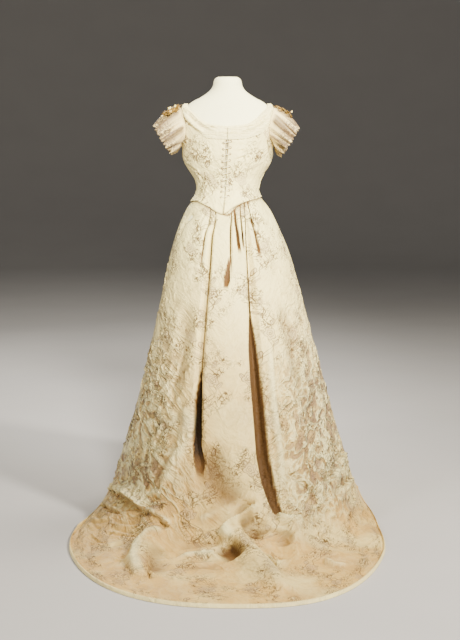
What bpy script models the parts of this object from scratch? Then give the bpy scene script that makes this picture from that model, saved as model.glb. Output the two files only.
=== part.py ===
"""A brocaded silk wedding dress of the 1890s on a limbless dress form.

Metres, +Z up. The origin is on the floor, under the middle of the dress form. The laced back
of the dress and its train are at -Y, and the wearer's left is at -X. Angles round the body are
in degrees: 0 is the centre back, 90 the wearer's right side and 180 the centre front.
"""

import math
from collections import namedtuple

import bmesh
import bpy
from mathutils import Vector

# Driving dimensions of the cloth
CLOTH = 0.0020                 # wall of the bodice, skirt and neckline band
SEAM = 0.0005                  # space between two panels at a seam
CLEAR = 0.0009                 # space between a piece and the one it lies on

# Driving dimensions of the bodice
WAIST_HEIGHT = 1.090
BODICE_OFF_CHEST = 0.0016      # inside of the bodice, out from the body, above the waist
BODICE_OFF_WAIST = 0.0064      # the same below the waist, where the skirt lies under it
BODICE_EASE_TOP = 1.130        # the offset changes between this height and the waist
CENTRE_DRIFT = -6.0            # the laced edges lean to the wearer's left, degrees at the hem

# Driving dimensions of the skirt
SKIRT_TOP = 1.084
TRAIN_REACH = 1.190
TRAIN_HALF_WIDTH = 0.452       # at the sides; it flares to 0.490 behind them
FRONT_REACH = 0.412

# Driving dimensions of the stand
STAND_RADIUS = 0.170
STAND_THICK = 0.012
POLE_RADIUS = 0.012
STAND_EDGE = 0.003
PLATE_RADIUS = 0.045           # plate at the top of the pole, under the form
PLATE_THICK = 0.006
FORM_BOTTOM = 0.800
FORM_OFF = -0.0012             # surface of the dress form, out from the body sections

Section = namedtuple("Section", "height half_width back front")
BODY_SECTIONS = (
    Section(0.800, 0.1680, 0.1400, 0.1180),
    Section(0.860, 0.1710, 0.1430, 0.1180),
    Section(0.920, 0.1650, 0.1380, 0.1140),
    Section(0.970, 0.1545, 0.1270, 0.1090),
    Section(1.006, 0.1415, 0.1130, 0.1040),
    Section(1.040, 0.1215, 0.0970, 0.0970),
    Section(1.065, 0.1060, 0.0860, 0.0910),
    Section(1.090, 0.1000, 0.0800, 0.0880),
    Section(1.115, 0.1060, 0.0830, 0.0900),
    Section(1.145, 0.1235, 0.0900, 0.1000),
    Section(1.175, 0.1430, 0.0970, 0.1120),
    Section(1.200, 0.1515, 0.1010, 0.1200),
    Section(1.230, 0.1530, 0.1030, 0.1210),
    Section(1.260, 0.1600, 0.1030, 0.1150),
    Section(1.290, 0.1680, 0.1000, 0.1060),
    Section(1.315, 0.1715, 0.0940, 0.0960),
    Section(1.335, 0.1690, 0.0840, 0.0850),
    Section(1.354, 0.1590, 0.0720, 0.0750),
    Section(1.371, 0.1410, 0.0610, 0.0660),
    Section(1.388, 0.1180, 0.0530, 0.0600),
    Section(1.398, 0.0980, 0.0500, 0.0580),
    Section(1.409, 0.0800, 0.0480, 0.0570),
    Section(1.418, 0.0675, 0.0460, 0.0560),
    Section(1.428, 0.0575, 0.0450, 0.0550),
    Section(1.440, 0.0510, 0.0440, 0.0540),
    Section(1.455, 0.0480, 0.0420, 0.0520),
    Section(1.465, 0.0420, 0.0360, 0.0460),
    Section(1.470, 0.0330, 0.0280, 0.0370),
)
BUST_HEIGHT = 1.205
BUST_ANGLE = 145.0             # each side of the front
BUST_RISE = 0.016
BUST_WIDTH = 24.0              # degrees
BUST_TALL = 0.042
FORM_BUST = 0.9                # share of the bust's rise that the dress form has

# Edges of the bodice, as heights by angle from the centre back. A table that starts at 0 is
# alike on both sides. The others go from the wearer's left side, at -90, round the back.
Edge = namedtuple("Edge", "angle height")
BASQUE_EDGE = (
    Edge(-90, 1.041),
    Edge(-72, 1.044),
    Edge(-56, 1.045),
    Edge(-29, 1.029),
    Edge(-17, 1.016),
    Edge(-8, 1.008),
    Edge(0, 1.004),
    Edge(5, 1.011),
    Edge(11, 1.024),
    Edge(19, 1.035),
    Edge(30, 1.045),
    Edge(60, 1.054),
    Edge(90, 1.057),
    Edge(140, 1.036),
    Edge(168, 0.998),
    Edge(180, 0.986),
    Edge(192, 0.996),
    Edge(220, 1.027),
    Edge(270, 1.041),
)
NECK_EDGE = (
    Edge(0, 1.2956),
    Edge(23, 1.304),
    Edge(34, 1.321),
    Edge(46, 1.343),
    Edge(66, 1.361),
    Edge(90, 1.371),
    Edge(114, 1.360),
    Edge(134, 1.336),
    Edge(152, 1.304),
    Edge(180, 1.276),
)
CHEST_LINE = (                 # the row of the bodice that runs between the two armholes
    Edge(0, 1.262),
    Edge(30, 1.276),
    Edge(57, 1.301),
    Edge(123, 1.301),
    Edge(150, 1.268),
    Edge(180, 1.242),
)
BACK_SEAM = (
    Edge(27, 1.020),
    Edge(23, 1.090),
    Edge(26, 1.140),
    Edge(34, 1.200),
    Edge(45, 1.258),
    Edge(57, 1.301),
)
SIDE_SEAM_ANGLE = 90.0
ARMHOLE_HEIGHT = 1.301
ARMHOLE_HALF_HEIGHT = 0.056
ARMHOLE_HALF_ANGLE = 33.0

# The neckline band lies on the bodice, between the neck edge and this lower edge
BERTHA_EDGE = (
    Edge(-90, 1.3645),
    Edge(-74, 1.358),
    Edge(-60, 1.338),
    Edge(-46, 1.309),
    Edge(-34, 1.285),
    Edge(-27, 1.268),
    Edge(-20, 1.263),
    Edge(0, 1.260),
    Edge(20, 1.262),
    Edge(34, 1.272),
    Edge(44, 1.283),
    Edge(51, 1.302),
    Edge(58, 1.336),
    Edge(74, 1.358),
    Edge(90, 1.3645),
    Edge(106, 1.358),
    Edge(120, 1.338),
    Edge(134, 1.296),
    Edge(152, 1.258),
    Edge(180, 1.236),
    Edge(208, 1.258),
    Edge(226, 1.296),
    Edge(240, 1.338),
    Edge(254, 1.358),
    Edge(270, 1.3645),
)
BERTHA_ARM_CLEAR = 0.0024      # more space under it near the armholes
BERTHA_FOLDS = 3.0
BERTHA_FOLD_HEIGHT = 0.0030

# Skirt rows, from the waist to the hem. The upper ones lie on the body, at a distance from
# the bodice's lower edge. The others give a height and a reach at the centre back, the side
# and the centre front.
BodyRow = namedtuple("BodyRow", "below_edge off")
BODY_ROWS = (
    BodyRow(None, 0.0030),     # at the skirt's top
    BodyRow(-0.014, 0.0034),
    BodyRow(0.006, 0.0048),
)
Station = namedtuple("Station", "back_z side_z front_z back side front square flare sway")
LOW_STATIONS = (
    Station(0.976, 1.014, 0.958, 0.1510, 0.1460, 0.118, 2.00, 0.000, 0.002),
    Station(0.935, 0.945, 0.925, 0.1750, 0.1780, 0.137, 2.00, 0.000, 0.004),
    Station(0.840, 0.850, 0.860, 0.2280, 0.2110, 0.168, 2.00, 0.000, 0.009),
    Station(0.680, 0.700, 0.720, 0.3020, 0.2480, 0.214, 2.05, 0.000, 0.014),
    Station(0.480, 0.510, 0.540, 0.3980, 0.2950, 0.268, 2.10, 0.000, 0.018),
    Station(0.260, 0.310, 0.360, 0.5080, 0.3480, 0.318, 2.25, 0.000, 0.020),
    Station(0.095, 0.150, 0.210, 0.6220, 0.3980, 0.358, 2.35, 0.030, 0.020),
    Station(0.022, 0.060, 0.110, 0.7350, 0.4260, 0.385, 2.45, 0.100, None),
    Station(0.003, 0.022, 0.045, 0.9200, 0.4430, 0.402, 2.55, 0.160, None),
    Station(0.002, 0.000, 0.000, TRAIN_REACH, TRAIN_HALF_WIDTH, FRONT_REACH, 2.60, 0.185, None),
)
Sway = namedtuple("Sway", "y shift")
FLOOR_SWAY = (                 # sideways lie of the train, where a row has no sway of its own
    Sway(-1.190, 0.028),
    Sway(-1.080, 0.013),
    Sway(-0.920, 0.004),
    Sway(-0.650, 0.000),
    Sway(-0.430, 0.001),
    Sway(-0.300, 0.013),
    Sway(-0.180, 0.020),
    Sway(0.420, 0.020),
)
FLARE_START = 0.6              # share of a row's reach where its flare is whole
HIP_ROW, KNEE_ROW, ANKLE_ROW, HEM_ROW = 5, 7, 9, 12

# Pleats of the centre back. Places are metres from the centre back, round the skirt, minus to
# the wearer's left. Half widths and depths are given at the top and low down.
Pleat = namedtuple("Pleat", "waist hip knee ankle hem half_top half_low deep_top deep_low first last")
PLEATS = (
    Pleat(-0.060, -0.104, -0.160, -0.200, -0.290, 0.007, 0.010, 0.010, 0.008, 1.8, 5.2),
    Pleat(-0.040, -0.075, -0.115, -0.104, -0.090, 0.007, 0.020, 0.012, 0.034, 1.85, 9.4),
    Pleat(0.012, 0.002, -0.008, -0.012, -0.010, 0.006, 0.010, 0.008, 0.012, 1.8, 5.6),
    Pleat(0.027, 0.032, 0.023, 0.026, 0.040, 0.006, 0.009, 0.011, 0.012, 1.85, 5.0),
    Pleat(0.046, 0.045, 0.042, 0.054, 0.085, 0.005, 0.005, 0.007, 0.006, 1.8, 4.3),
    Pleat(0.066, 0.068, 0.082, 0.112, 0.190, 0.007, 0.026, 0.011, 0.038, 1.85, 9.6),
    Pleat(0.085, 0.108, 0.140, 0.200, 0.310, 0.007, 0.012, 0.010, 0.010, 1.85, 4.8),
)
TOP_PLEAT = 0.0006             # depth of the pleats where the bodice covers them
PLEAT_START = 1.1              # rows over which a pleat deepens
PLEAT_WIDEN = 6.0              # rows over which a pleat comes to its low width
BACK_SEAMS = (                 # seams at the sides of the pleated panel, as places
    (-0.105, -0.150, -0.200, -0.300, -0.440),
    (0.105, 0.150, 0.200, 0.300, 0.440),
)
SIDE_BACK_SEAM = 0.93          # share of the back half's girth
SIDE_FRONT_SEAM = 1.52         # 1 is the side and 2 the centre front

# Ridges and hollows of the train on the floor: two ends, half width and height
Ridge = namedtuple("Ridge", "x0 y0 x1 y1 half rise")
RIDGES = (
    Ridge(-0.010, -0.560, 0.150, -1.020, 0.042, 0.036),
    Ridge(-0.020, -0.620, 0.110, -0.480, 0.036, 0.030),
    Ridge(-0.250, -0.900, -0.235, -0.560, 0.042, 0.030),
    Ridge(-0.235, -0.560, -0.120, -0.520, 0.040, 0.022),
    Ridge(0.215, -0.520, 0.215, -0.800, 0.038, 0.024),
    Ridge(0.250, -0.700, 0.400, -0.760, 0.045, 0.014),
)

# Sleeves
SLEEVE_WALL = 0.0012
CUFF_CENTRE_LEFT = (0.2190, -0.004, 1.2530)
CUFF_CENTRE_RIGHT = (0.2130, -0.004, 1.2500)
CUFF_TOP_DIRECTION = (0.526, 0.0, 0.850)
CUFF_HALF_HEIGHT = 0.0480
CUFF_HALF_DEPTH = 0.0820
SLEEVE_PUFF = 0.016
SLEEVE_WAVES = 12
SLEEVE_WAVE_HEIGHT = 0.0075
SLEEVE_SCALLOP = 0.0060
SLEEVE_COLUMNS = 48
SLEEVE_ROWS = 5

# Lacing
LACE_COUNT = 10
LACE_TOP = 1.2455
LACE_PITCH = 0.0208
LACE_HALF_SPAN = 0.0115
LACE_SLANT = 0.0055            # the right eyelet is this much higher than the left one
LACE_RADIUS = 0.0011
LACE_CLEAR = 0.0005
LACING_GAP = 0.0030            # space between the two laced edges

# Orange blossom sprays: a row of leaves under a row of buds, placed on the sleeve. Turn is
# 90 on top of the sleeve and more toward the back, share runs down it and lift is over it.
Lump = namedtuple("Lump", "turn share lift long wide thick")
SPRAY = (
    Lump(92, 0.18, 0.0050, 0.0190, 0.0110, 0.0040),
    Lump(98, 0.41, 0.0050, 0.0210, 0.0120, 0.0040),
    Lump(86, 0.14, 0.0100, 0.0070, 0.0062, 0.0062),
    Lump(100, 0.22, 0.0100, 0.0077, 0.0064, 0.0064),
    Lump(90, 0.32, 0.0105, 0.0080, 0.0068, 0.0068),
    Lump(103, 0.39, 0.0095, 0.0074, 0.0062, 0.0062),
    Lump(92, 0.48, 0.0095, 0.0080, 0.0064, 0.0064),
    Lump(103, 0.54, 0.0085, 0.0084, 0.0058, 0.0058),
)
SPRAY_TURN_LEFT = 6.0          # how far each spray lies toward the back
SPRAY_TURN_RIGHT = -16.0


def clear_scene():
    for item in list(bpy.data.objects):
        bpy.data.objects.remove(item)


def material(name, colour, roughness, metallic=0.0):
    made = bpy.data.materials.new(name)
    made.use_nodes = True
    shader = made.node_tree.nodes["Principled BSDF"]
    shader.inputs["Base Color"].default_value = (*colour, 1.0)
    shader.inputs["Roughness"].default_value = roughness
    shader.inputs["Metallic"].default_value = metallic
    return made


def lerp(a, b, share):
    return a + (b - a) * share


def smooth(share):
    share = min(max(share, 0.0), 1.0)
    return share * share * (3.0 - 2.0 * share)


def read_curve(knots, values, at):
    """Value at one place of a smooth curve through the values at the knots."""
    at = min(max(at, knots[0]), knots[-1])
    last = len(knots) - 1
    i = next(k for k in range(last) if at <= knots[k + 1])

    def slope(k):
        low, high = max(k - 1, 0), min(k + 1, last)
        return (values[high] - values[low]) / (knots[high] - knots[low])

    span = knots[i + 1] - knots[i]
    t = (at - knots[i]) / span
    t2, t3 = t * t, t * t * t
    return (
        (2 * t3 - 3 * t2 + 1) * values[i]
        + (t3 - 2 * t2 + t) * span * slope(i)
        + (3 * t2 - 2 * t3) * values[i + 1]
        + (t3 - t2) * span * slope(i + 1)
    )


def edge_height(edge, angle):
    """Height of an edge at an angle round the body."""
    if edge[0].angle == 0:
        angle = abs(angle)
        if angle > 180:
            angle = 360 - angle
    elif angle < edge[0].angle:
        angle += 360
    elif angle > edge[-1].angle:
        angle -= 360
    return read_curve([e.angle for e in edge], [e.height for e in edge], angle)


BODY_HEIGHTS = [s.height for s in BODY_SECTIONS]


def body_sizes(height):
    """Half width, back depth and front depth of the body at a height."""
    return [
        read_curve(BODY_HEIGHTS, [getattr(s, size) for s in BODY_SECTIONS], height)
        for size in ("half_width", "back", "front")
    ]


def body_flat_point(angle, height):
    """A point of the body's surface before the bust is added."""
    half_width, back, front = body_sizes(height)
    turn = math.radians(angle)
    depth = back if math.cos(turn) > 0 else front
    return Vector((half_width * math.sin(turn), -depth * math.cos(turn), height))


def bust(angle, height):
    around = abs((angle + 180) % 360 - 180)
    across = (around - BUST_ANGLE) / BUST_WIDTH
    up = (height - BUST_HEIGHT) / BUST_TALL
    return BUST_RISE * math.exp(-across * across - up * up)


def body_normal(angle, height):
    along = body_flat_point(angle + 1, height) - body_flat_point(angle - 1, height)
    low = max(height - 0.002, BODY_HEIGHTS[0])
    high = min(height + 0.002, BODY_HEIGHTS[-1])
    up = body_flat_point(angle, high) - body_flat_point(angle, low)
    return along.cross(up).normalized()


def body_point(angle, height, out, bust_share=1.0):
    """A point at a distance out from the body's surface."""
    rise = out + bust(angle, height) * bust_share
    return body_flat_point(angle, height) + body_normal(angle, height) * rise


def make_object(name, mesh_builder, look):
    """One named object from a filled bmesh, with its faces pointing out."""
    bmesh.ops.triangulate(mesh_builder, faces=mesh_builder.faces)
    bmesh.ops.recalc_face_normals(mesh_builder, faces=mesh_builder.faces)
    mesh = bpy.data.meshes.new(name)
    mesh_builder.to_mesh(mesh)
    mesh_builder.free()
    mesh.materials.append(look)
    made = bpy.data.objects.new(name, mesh)
    bpy.context.scene.collection.objects.link(made)
    mesh.shade_smooth()
    mesh.set_sharp_from_angle(angle=math.radians(50))
    return made


def make_wall(name, outer, inner, quads, look):
    """A closed wall of cloth between an outer and an inner sheet with the same faces."""
    builder = bmesh.new()
    outer_verts = [builder.verts.new(p) for p in outer]
    inner_verts = [builder.verts.new(p) for p in inner]
    used = set()
    for quad in quads:
        builder.faces.new([outer_verts[k] for k in quad])
        builder.faces.new([inner_verts[k] for k in reversed(quad)])
        used.update(zip(quad, quad[1:] + quad[:1]))
    for a, b in used:
        if (b, a) not in used:
            builder.faces.new((outer_verts[b], outer_verts[a], inner_verts[a], inner_verts[b]))
    return make_object(name, builder, look)


def grid_quads(rows, columns, wrap=False):
    """Faces of a grid whose points are numbered along each row, from the lowest row."""
    quads = []
    for i in range(rows - 1):
        for j in range(columns if wrap else columns - 1):
            k = (j + 1) % columns
            low, high = i * columns, (i + 1) * columns
            quads.append((low + j, low + k, high + k, high + j))
    return quads


def inset_rows(grid, gap_left, gap_right):
    """Moves the first and last point of each row in by a gap."""
    for line in grid:
        line[0] = line[0] + (line[1] - line[0]).normalized() * gap_left
        line[-1] = line[-1] + (line[-2] - line[-1]).normalized() * gap_right


def grid_wall(name, outer, inner, gaps, look):
    """A wall from two grids of points, set in at its first and last columns."""
    inset_rows(outer, *gaps)
    inset_rows(inner, *gaps)
    quads = grid_quads(len(outer), len(outer[0]))
    return make_wall(name, sum(outer, []), sum(inner, []), quads, look)


# The dress form and its stand


FORM_COLUMNS = 32


def make_form(look):
    heights = [FORM_BOTTOM, 0.86, 0.92, 0.97, 1.006, 1.04, 1.065, 1.09, 1.115, 1.145, 1.175]
    heights += [1.20, 1.23, 1.26, 1.285, 1.305, 1.322, 1.338, 1.352, 1.362, 1.372, 1.384]
    heights += [1.394, 1.405, 1.415, 1.428, 1.442, 1.456, 1.465, 1.4695]
    builder = bmesh.new()
    rings = []
    for height in heights:
        angles = [360 * k / FORM_COLUMNS for k in range(FORM_COLUMNS)]
        points = [body_point(a, height, FORM_OFF, FORM_BUST) for a in angles]
        rings.append([builder.verts.new(p) for p in points])
        for vert in rings[-1]:
            vert.co.z = max(vert.co.z, FORM_BOTTOM)
    for vert in rings[0]:
        vert.co.z = FORM_BOTTOM
    for low, high in zip(rings, rings[1:]):
        for j in range(FORM_COLUMNS):
            k = (j + 1) % FORM_COLUMNS
            builder.faces.new((low[j], low[k], high[k], high[j]))
    builder.faces.new(rings[0][::-1])
    builder.faces.new(rings[-1])
    return make_object("form_torso", builder, look)


def make_turned(name, profile, sides, look):
    """A solid turned round the Z axis from (radius, height) points, from low to high."""
    builder = bmesh.new()
    rings = []
    for radius, height in profile:
        turns = [2 * math.pi * k / sides for k in range(sides)]
        ring = [(radius * math.cos(t), radius * math.sin(t), height) for t in turns]
        rings.append([builder.verts.new(p) for p in ring])
    for low, high in zip(rings, rings[1:]):
        for j in range(sides):
            k = (j + 1) % sides
            builder.faces.new((low[j], low[k], high[k], high[j]))
    builder.faces.new(rings[0][::-1])
    builder.faces.new(rings[-1])
    return make_object(name, builder, look)


def make_stand(look):
    touch = 0.0003
    plate_top = FORM_BOTTOM - touch
    plate_bottom = plate_top - PLATE_THICK
    base = ((STAND_RADIUS, 0.0), (STAND_RADIUS, STAND_THICK - STAND_EDGE))
    base += ((STAND_RADIUS - STAND_EDGE, STAND_THICK),)
    make_turned("stand_base", base, 36, look)
    pole = ((POLE_RADIUS, STAND_THICK + touch), (POLE_RADIUS, plate_bottom))
    pole += ((PLATE_RADIUS, plate_bottom), (PLATE_RADIUS, plate_top))
    make_turned("stand_pole", pole, 20, look)


# The bodice: panels that share the points of their seams


# Rows of the bodice, as shares of the height from its lower edge to the armholes
LOW_ROWS = (0, 0.06, 0.13, 0.20, 0.27, 0.34, 0.42, 0.52, 0.64, 0.76, 0.88, 1)
HIGH_ROWS = 4                  # from there to the neck edge
BACK_COLUMNS = 7
SIDE_BACK_COLUMNS = 5
ARM_STEPS = 5                  # columns of a panel over or under the armhole
CHEST_COLUMNS = 14             # columns of the front between the armholes


def bodice_off(height):
    share = smooth((BODICE_EASE_TOP - height) / (BODICE_EASE_TOP - WAIST_HEIGHT))
    return lerp(BODICE_OFF_CHEST, BODICE_OFF_WAIST, share)


def armhole_point(turn, grow=1.0):
    """Angle and height of the right armhole's edge. Turn 0 is its front and 90 its top."""
    angle = 90 + ARMHOLE_HALF_ANGLE * grow * math.cos(math.radians(turn))
    height = ARMHOLE_HEIGHT + ARMHOLE_HALF_HEIGHT * grow * math.sin(math.radians(turn))
    return angle, height


def centre_angle(share):
    """Angle of the laced centre back, at a share of the height from hem to chest."""
    return CENTRE_DRIFT * (1 - share)


def back_seam_point(share, side):
    start = edge_height(BASQUE_EDGE, side * BACK_SEAM[0].angle)
    height = lerp(start, ARMHOLE_HEIGHT, share)
    heights = [start] + [e.height for e in BACK_SEAM[1:]]
    return read_curve(heights, [e.angle for e in BACK_SEAM], height), height


def back_panel(side):
    """Angles and heights of a back panel: the grid below the chest line and the one over it."""
    low, high = [], []
    for share in LOW_ROWS:
        seam_angle, _ = back_seam_point(share, side)
        line = []
        for j in range(BACK_COLUMNS + 1):
            across = j / BACK_COLUMNS
            angle = lerp(side * centre_angle(share), seam_angle, across)
            bottom = edge_height(BASQUE_EDGE, side * across * BACK_SEAM[0].angle)
            top = edge_height(CHEST_LINE, across * BACK_SEAM[-1].angle)
            line.append((angle, lerp(bottom, top, share)))
        low.append(line)
    columns = [(angle, height) for angle, height in low[-1]]
    columns += [armhole_point(180 - 90 * k / ARM_STEPS) for k in range(1, ARM_STEPS + 1)]
    for i in range(HIGH_ROWS + 1):
        share = i / HIGH_ROWS
        high.append([(a, lerp(h, edge_height(NECK_EDGE, a), share)) for a, h in columns])
    return low, high, range(BACK_COLUMNS + 1)


def side_back_panel(side):
    grid = []
    for share in LOW_ROWS:
        left = back_seam_point(share, side)
        bottom = edge_height(BASQUE_EDGE, side * SIDE_SEAM_ANGLE)
        right = SIDE_SEAM_ANGLE, lerp(bottom, armhole_point(270)[1], share)
        line = []
        for j in range(SIDE_BACK_COLUMNS + 1):
            across = j / SIDE_BACK_COLUMNS
            angle = lerp(left[0], right[0], across)
            height = lerp(left[1], right[1], across)
            hem_angle = lerp(BACK_SEAM[0].angle, SIDE_SEAM_ANGLE, across)
            hem = edge_height(BASQUE_EDGE, side * hem_angle)
            hem_straight = lerp(edge_height(BASQUE_EDGE, side * BACK_SEAM[0].angle), bottom, across)
            arm = armhole_point(180 + 90 * across)
            arm_start, arm_end = armhole_point(180), armhole_point(270)
            angle += (arm[0] - lerp(arm_start[0], arm_end[0], across)) * share
            height += (arm[1] - lerp(arm_start[1], arm_end[1], across)) * share
            height += (hem - hem_straight) * (1 - share)
            line.append((angle, height))
        grid.append(line)
    return grid


def front_panel():
    """Angles and heights of the front: below and above the line between the armholes."""
    under = [armhole_point(270 + 90 * k / ARM_STEPS) for k in range(ARM_STEPS + 1)]
    over = [armhole_point(90 - 90 * k / ARM_STEPS) for k in range(ARM_STEPS + 1)]
    right, left = under[-1][0], 360 - under[-1][0]
    chest = []
    for k in range(1, CHEST_COLUMNS):
        angle = lerp(right, left, k / CHEST_COLUMNS)
        chest.append((angle, edge_height(CHEST_LINE, angle)))
    under = under + chest + [(360 - a, h) for a, h in reversed(under)]
    over = over + chest + [(360 - a, h) for a, h in reversed(over)]
    low, high = [], []
    for share in LOW_ROWS:
        low.append([(a, lerp(edge_height(BASQUE_EDGE, a), h, share)) for a, h in under])
    for i in range(HIGH_ROWS + 1):
        share = i / HIGH_ROWS
        high.append([(a, lerp(h, edge_height(NECK_EDGE, a), share)) for a, h in over])
    return low, high, range(ARM_STEPS, ARM_STEPS + CHEST_COLUMNS + 1)


def bodice_sheet(grid, side, gaps, out):
    """A grid of angles and heights laid on the body. Side is -1 for the wearer's left."""
    sheet = [[body_point(side * a, h, bodice_off(h) + out) for a, h in line] for line in grid]
    inset_rows(sheet, *gaps)
    return sheet


def make_panel(name, low, high, shared, side, gaps_low, gaps_high, look):
    """A bodice panel from a low and a high grid that share some columns of one row."""
    sheets = []
    for out in (CLOTH, 0.0):
        low_sheet = bodice_sheet(low, side, gaps_low, out)
        high_sheet = bodice_sheet(high, side, gaps_high, out)
        points = sum(low_sheet, [])
        last_low = len(points) - len(low[0])
        numbers = []
        for i, line in enumerate(high_sheet):
            row = []
            for j, point in enumerate(line):
                if i == 0 and j in shared:
                    row.append(last_low + j)
                    continue
                row.append(len(points))
                points.append(point)
            numbers.append(row)
        sheets.append(points)
    quads = grid_quads(len(low), len(low[0]))
    for below, above in zip(numbers, numbers[1:]):
        for j in range(len(below) - 1):
            quads.append((below[j], below[j + 1], above[j + 1], above[j]))
    if side < 0:
        quads = [quad[::-1] for quad in quads]
    make_wall(name, *sheets, quads, look)


def make_bodice(look):
    seam, lacing = SEAM / 2, LACING_GAP / 2
    for side, word in ((1, "right"), (-1, "left")):
        low, high, shared = back_panel(side)
        gaps = (lacing, seam)
        make_panel(f"bodice_back_{word}", low, high, shared, side, gaps, gaps, look)
        grid = side_back_panel(side)
        outer = bodice_sheet(grid, side, (0, 0), CLOTH)
        inner = bodice_sheet(grid, side, (0, 0), 0.0)
        grid_wall(f"bodice_side_back_{word}", outer, inner, (seam, seam), look)
    low, high, shared = front_panel()
    make_panel("bodice_front", low, high, shared, 1, (seam, seam), (seam, seam), look)


# The draped band round the neckline


BERTHA_ROWS = 6
BERTHA_ANGLES = (-90, -82, -74, -66, -58, -53, -47, -41, -33, -24, -16, -8, 0)


def make_bertha(look):
    """A band with lengthwise folds, laid on the bodice from one laced edge to the other."""
    back = [-a for a in reversed(BERTHA_ANGLES)]
    front = [90 + 9 * k for k in range(1, 20)]
    angles = back + front + [360 + a for a in BERTHA_ANGLES]
    sheets = []
    for wall in (CLOTH, 0.0):
        grid = []
        for i in range(BERTHA_ROWS + 1):
            share = i / BERTHA_ROWS
            fold = 0.5 - 0.5 * math.cos(2 * math.pi * BERTHA_FOLDS * share)
            line = []
            for angle in angles:
                low = edge_height(BERTHA_EDGE, angle)
                high = edge_height(NECK_EDGE, angle) - 0.0004
                height = lerp(low, high, share)
                near_arm = smooth(1.2 - abs(abs((angle + 180) % 360 - 180) - 90) / 55)
                clear = CLEAR + BERTHA_ARM_CLEAR * near_arm
                out = bodice_off(height) + CLOTH + clear + BERTHA_FOLD_HEIGHT * fold + wall
                line.append(body_point(angle, height, out))
            grid.append(line)
        sheets.append(grid)
    grid_wall("bertha", *sheets, (LACING_GAP / 2, LACING_GAP / 2), look)


# Sleeves: bells that hang from the armholes, with ruffled, scalloped edges


def sleeve_point(side, turn, share, ruffle=None):
    """Outer face of a sleeve. Turn goes round it, 0 at the front, and share down it."""
    angle, height = armhole_point(turn, 1.07)
    head_out = bodice_off(height) + CLOTH + CLEAR + SLEEVE_WALL
    head = body_point(angle, height, head_out)
    depth_way = math.cos(math.radians(turn))
    up_way = math.sin(math.radians(turn))
    up = Vector(CUFF_TOP_DIRECTION).normalized()
    centre = Vector(CUFF_CENTRE_RIGHT if side > 0 else CUFF_CENTRE_LEFT)
    cuff = centre + up * (CUFF_HALF_HEIGHT * up_way)
    cuff.y += CUFF_HALF_DEPTH * depth_way
    out = (cuff - centre).normalized()
    middle = (head + cuff) / 2 + out * SLEEVE_PUFF
    point = head * (1 - share) ** 2 + middle * 2 * share * (1 - share) + cuff * share**2
    if ruffle is None:
        phase = math.radians(turn) * SLEEVE_WAVES + 0.9 * math.sin(math.radians(turn * 2))
        ruffle = SLEEVE_WAVE_HEIGHT * math.cos(phase)
    point = point + out * (ruffle * smooth(share * 1.15))
    down = (cuff - head).normalized()
    scallop = math.cos(math.radians(turn) * SLEEVE_WAVES * 2)
    point = point + down * (SLEEVE_SCALLOP * scallop * share**6)
    return Vector((point.x * side, point.y, point.z))


def sleeve_normal(side, turn, share):
    along = sleeve_point(side, turn + 1, share) - sleeve_point(side, turn - 1, share)
    down = sleeve_point(side, turn, share + 0.01) - sleeve_point(side, turn, share - 0.01)
    return along.cross(down).normalized() * -side


def make_sleeve(side, word, look):
    outer, inner = [], []
    for i in range(SLEEVE_ROWS, -1, -1):
        share = i / SLEEVE_ROWS
        for k in range(SLEEVE_COLUMNS):
            turn = 360 * k / SLEEVE_COLUMNS
            point = sleeve_point(side, turn, share)
            outer.append(point)
            inner.append(point - sleeve_normal(side, turn, share) * SLEEVE_WALL)
    quads = grid_quads(SLEEVE_ROWS + 1, SLEEVE_COLUMNS, wrap=True)
    make_wall(f"sleeve_{word}", outer, inner, quads, look)


# The skirt and its train


ARC_SAMPLES = 240
BODY_COUNT = len(BODY_ROWS)
BODY_MEAN_HEIGHTS = (SKIRT_TOP, 1.045, 1.015)


def body_station(height, off):
    half_width, back, front = body_sizes(height)
    sizes = (back + off, half_width + off, front + off)
    return Station(height, height, height, *sizes, square=2.0, flare=0.0, sway=0.0)


STATIONS = (
    *(body_station(h, row.off) for h, row in zip(BODY_MEAN_HEIGHTS, BODY_ROWS)),
    *LOW_STATIONS,
)
LAST_ROW = len(STATIONS) - 1


def quarter_arc(reach, side, square, flare=0.0):
    """Points of a quarter of a squared ellipse, from its end on -Y to its side, with the
    length along it at each. The flare widens it behind the side."""
    points = []
    for k in range(ARC_SAMPLES + 1):
        turn = math.radians(90 * k / ARC_SAMPLES)
        x = side * max(math.sin(turn), 0.0) ** (2 / square)
        y = reach * max(math.cos(turn), 0.0) ** (2 / square)
        points.append((x * (1 + flare * smooth(y / reach / FLARE_START)), y))
    lengths = [0.0]
    for a, b in zip(points, points[1:]):
        lengths.append(lengths[-1] + math.hypot(b[0] - a[0], b[1] - a[1]))
    return points, lengths


BACK_ARCS = [quarter_arc(s.back, s.side, s.square, s.flare) for s in STATIONS]
FRONT_ARCS = [quarter_arc(s.front, s.side, min(s.square, 2.2)) for s in STATIONS]
BACK_LENGTHS = [lengths[-1] for _, lengths in BACK_ARCS]


def read_arc(arc, distance):
    points, lengths = arc
    distance = min(max(distance, 0.0), lengths[-1])
    low, high = 0, len(lengths) - 1
    while high - low > 1:
        middle = (low + high) // 2
        low, high = (middle, high) if lengths[middle] <= distance else (low, middle)
    share = (distance - lengths[low]) / max(lengths[high] - lengths[low], 1e-9)
    a, b = points[low], points[high]
    return lerp(a[0], b[0], share), lerp(a[1], b[1], share)


def back_length(level):
    row = min(int(level), LAST_ROW - 1)
    return lerp(BACK_LENGTHS[row], BACK_LENGTHS[row + 1], level - row)


# A place is a column of the skirt: a function of the level that gives metres round from the
# centre back, minus to the wearer's left. Past the side it goes on with whole half girths.


PLACE_KNOTS = (0, 2, HIP_ROW, KNEE_ROW, ANKLE_ROW, HEM_ROW)


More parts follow.
